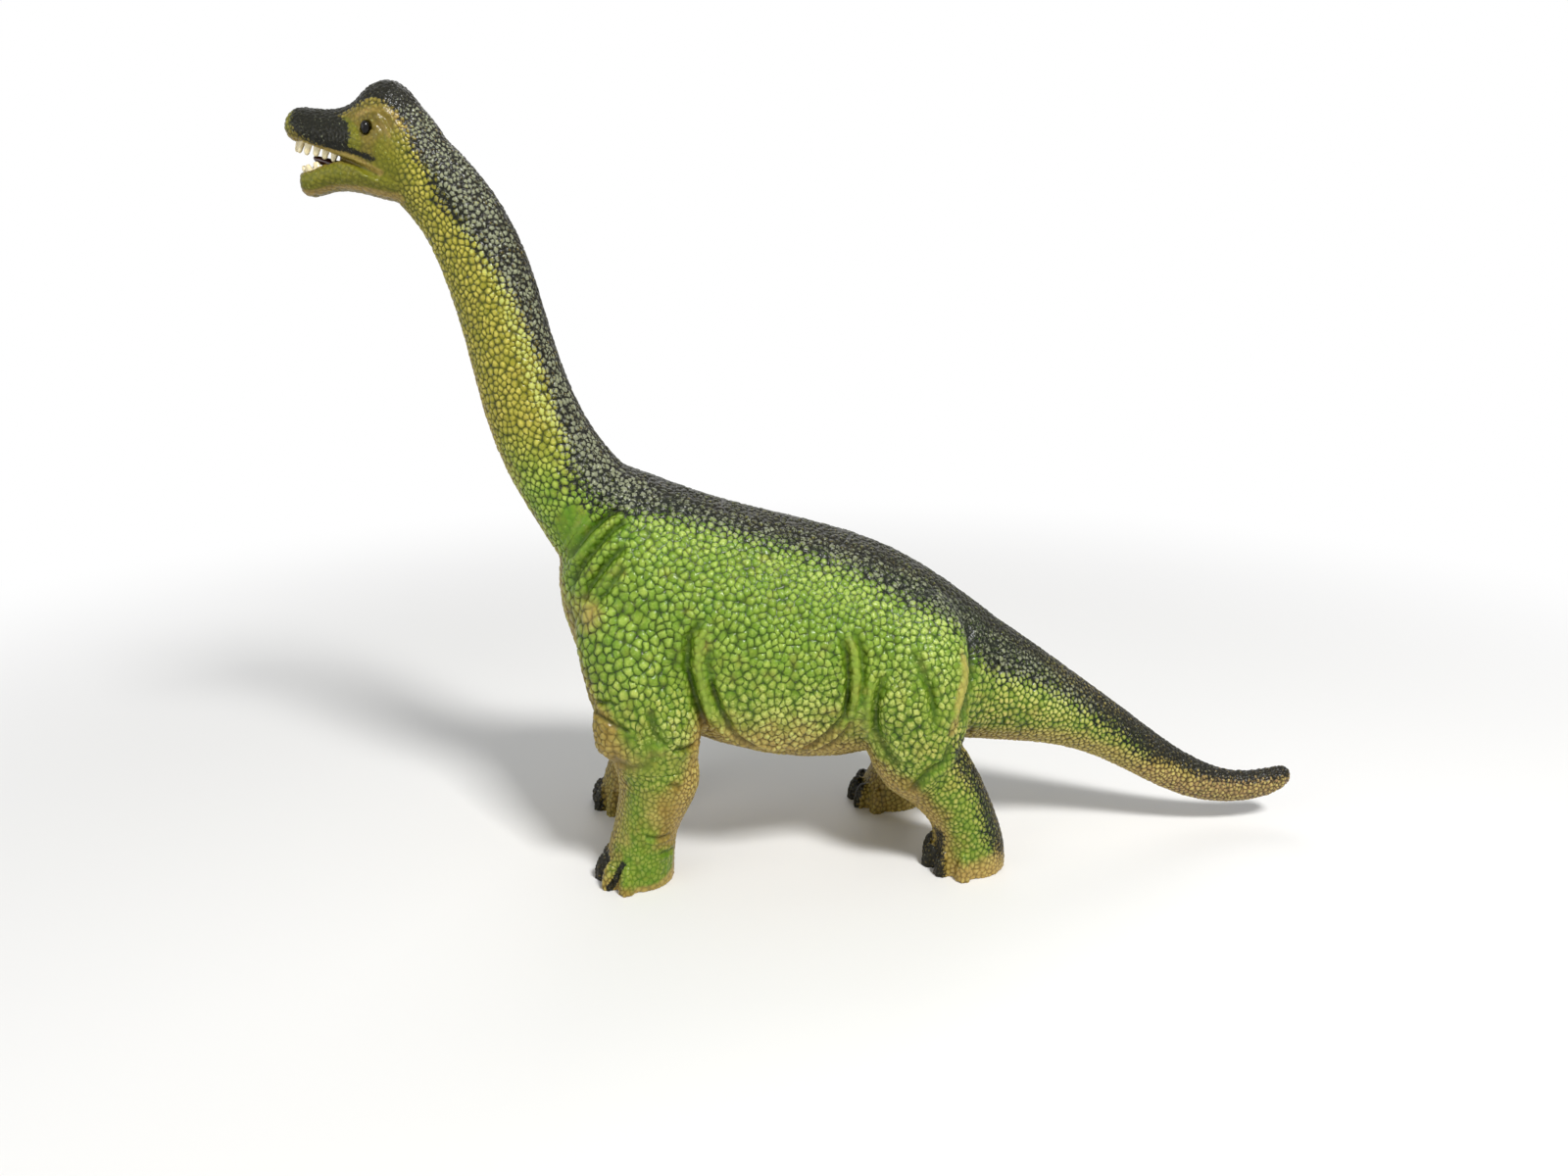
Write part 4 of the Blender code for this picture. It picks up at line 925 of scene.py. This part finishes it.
def plain_finish(name, tone, roughness, coat, other_tone, level=0.5):
    """A finish whose tone drifts a little with the noise of the cast."""
    material, tree = new_material(name)
    at = node(tree, "ShaderNodeTexCoord").outputs["Object"]
    cast = node(tree, "ShaderNodeTexNoise", Vector=at, Scale=CAST_GRAIN, Detail=3.0).outputs["Fac"]
    paint = blend(tree, cast, colour(*tone), colour(*other_tone))
    bumps = node(tree, "ShaderNodeBump", Strength=0.25, Distance=0.0001, Height=cast)
    shader = node(tree, "ShaderNodeBsdfPrincipled", Base_Color=paint, Normal=bumps.outputs[0])
    shader.inputs["Roughness"].default_value = roughness
    shader.inputs["Specular IOR Level"].default_value = level
    shader.inputs["Coat Weight"].default_value = coat
    shader.inputs["Coat Roughness"].default_value = 0.06
    node(tree, "ShaderNodeOutputMaterial", Surface=shader.outputs[0])
    return material


eye_gloss = plain_finish("gloss_black_eye", (4, 4, 4), 0.14, 0.08, (12, 9, 7), level=0.2)
ivory = plain_finish("ivory_teeth", (232, 222, 184), 0.32, 0.5, (206, 186, 132))
maroon = plain_finish("maroon_tongue", (70, 18, 18), 0.3, 0.6, (46, 10, 12))
print("finishes:", eye_gloss.name, ivory.name, maroon.name)

# %% Set the eyes
for side in ("left", "right"):
    low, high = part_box("eye_" + side)
    bpy.ops.object.select_all(action="DESELECT")
    bpy.ops.mesh.primitive_uv_sphere_add(segments=40, ring_count=24, radius=0.5,
                                         location=(low + high) / 2)
    eye = bpy.context.active_object
    eye.name = "eye_bead_" + side
    eye.scale = high - low
    bpy.ops.object.transform_apply(location=True, rotation=True, scale=True)
    bpy.ops.object.shade_smooth()
    eye.data.materials.append(eye_gloss)
    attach(eye, "root")
    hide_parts("eye_" + side)
    print(eye.name, "mm:", [round(float(c) / MM, 1) for c in high - low])

# %% Round the teeth
for name in ("upper_teeth", "lower_teeth"):
    teeth = copy_of(name)
    teeth.name = name + "_row"
    modify(teeth, "SUBSURF", levels=2, render_levels=2)
    only(teeth)
    bpy.ops.object.shade_smooth()
    teeth.data.materials.clear()
    teeth.data.materials.append(ivory)
    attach(teeth, "root")
    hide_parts(name)
    print(teeth.name, len(teeth.data.polygons), "faces")

# %% Groove the tongue
tongue = copy_of("tongue")
tongue.name = "tongue_slip"
modify(tongue, "SUBSURF", levels=2, render_levels=2)
spots = places(tongue)
groove = -0.5 * np.exp(-(spots[:, 1] / 0.7) ** 2) * step(0.3, 0.8, normals(tongue)[:, 2])
shape(tongue, groove)
only(tongue)
bpy.ops.object.shade_smooth()
tongue.data.materials.clear()
tongue.data.materials.append(maroon)
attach(tongue, "root")
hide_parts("tongue")
print(tongue.name, "grooved", round(float(-groove.min()), 2), "mm deep")
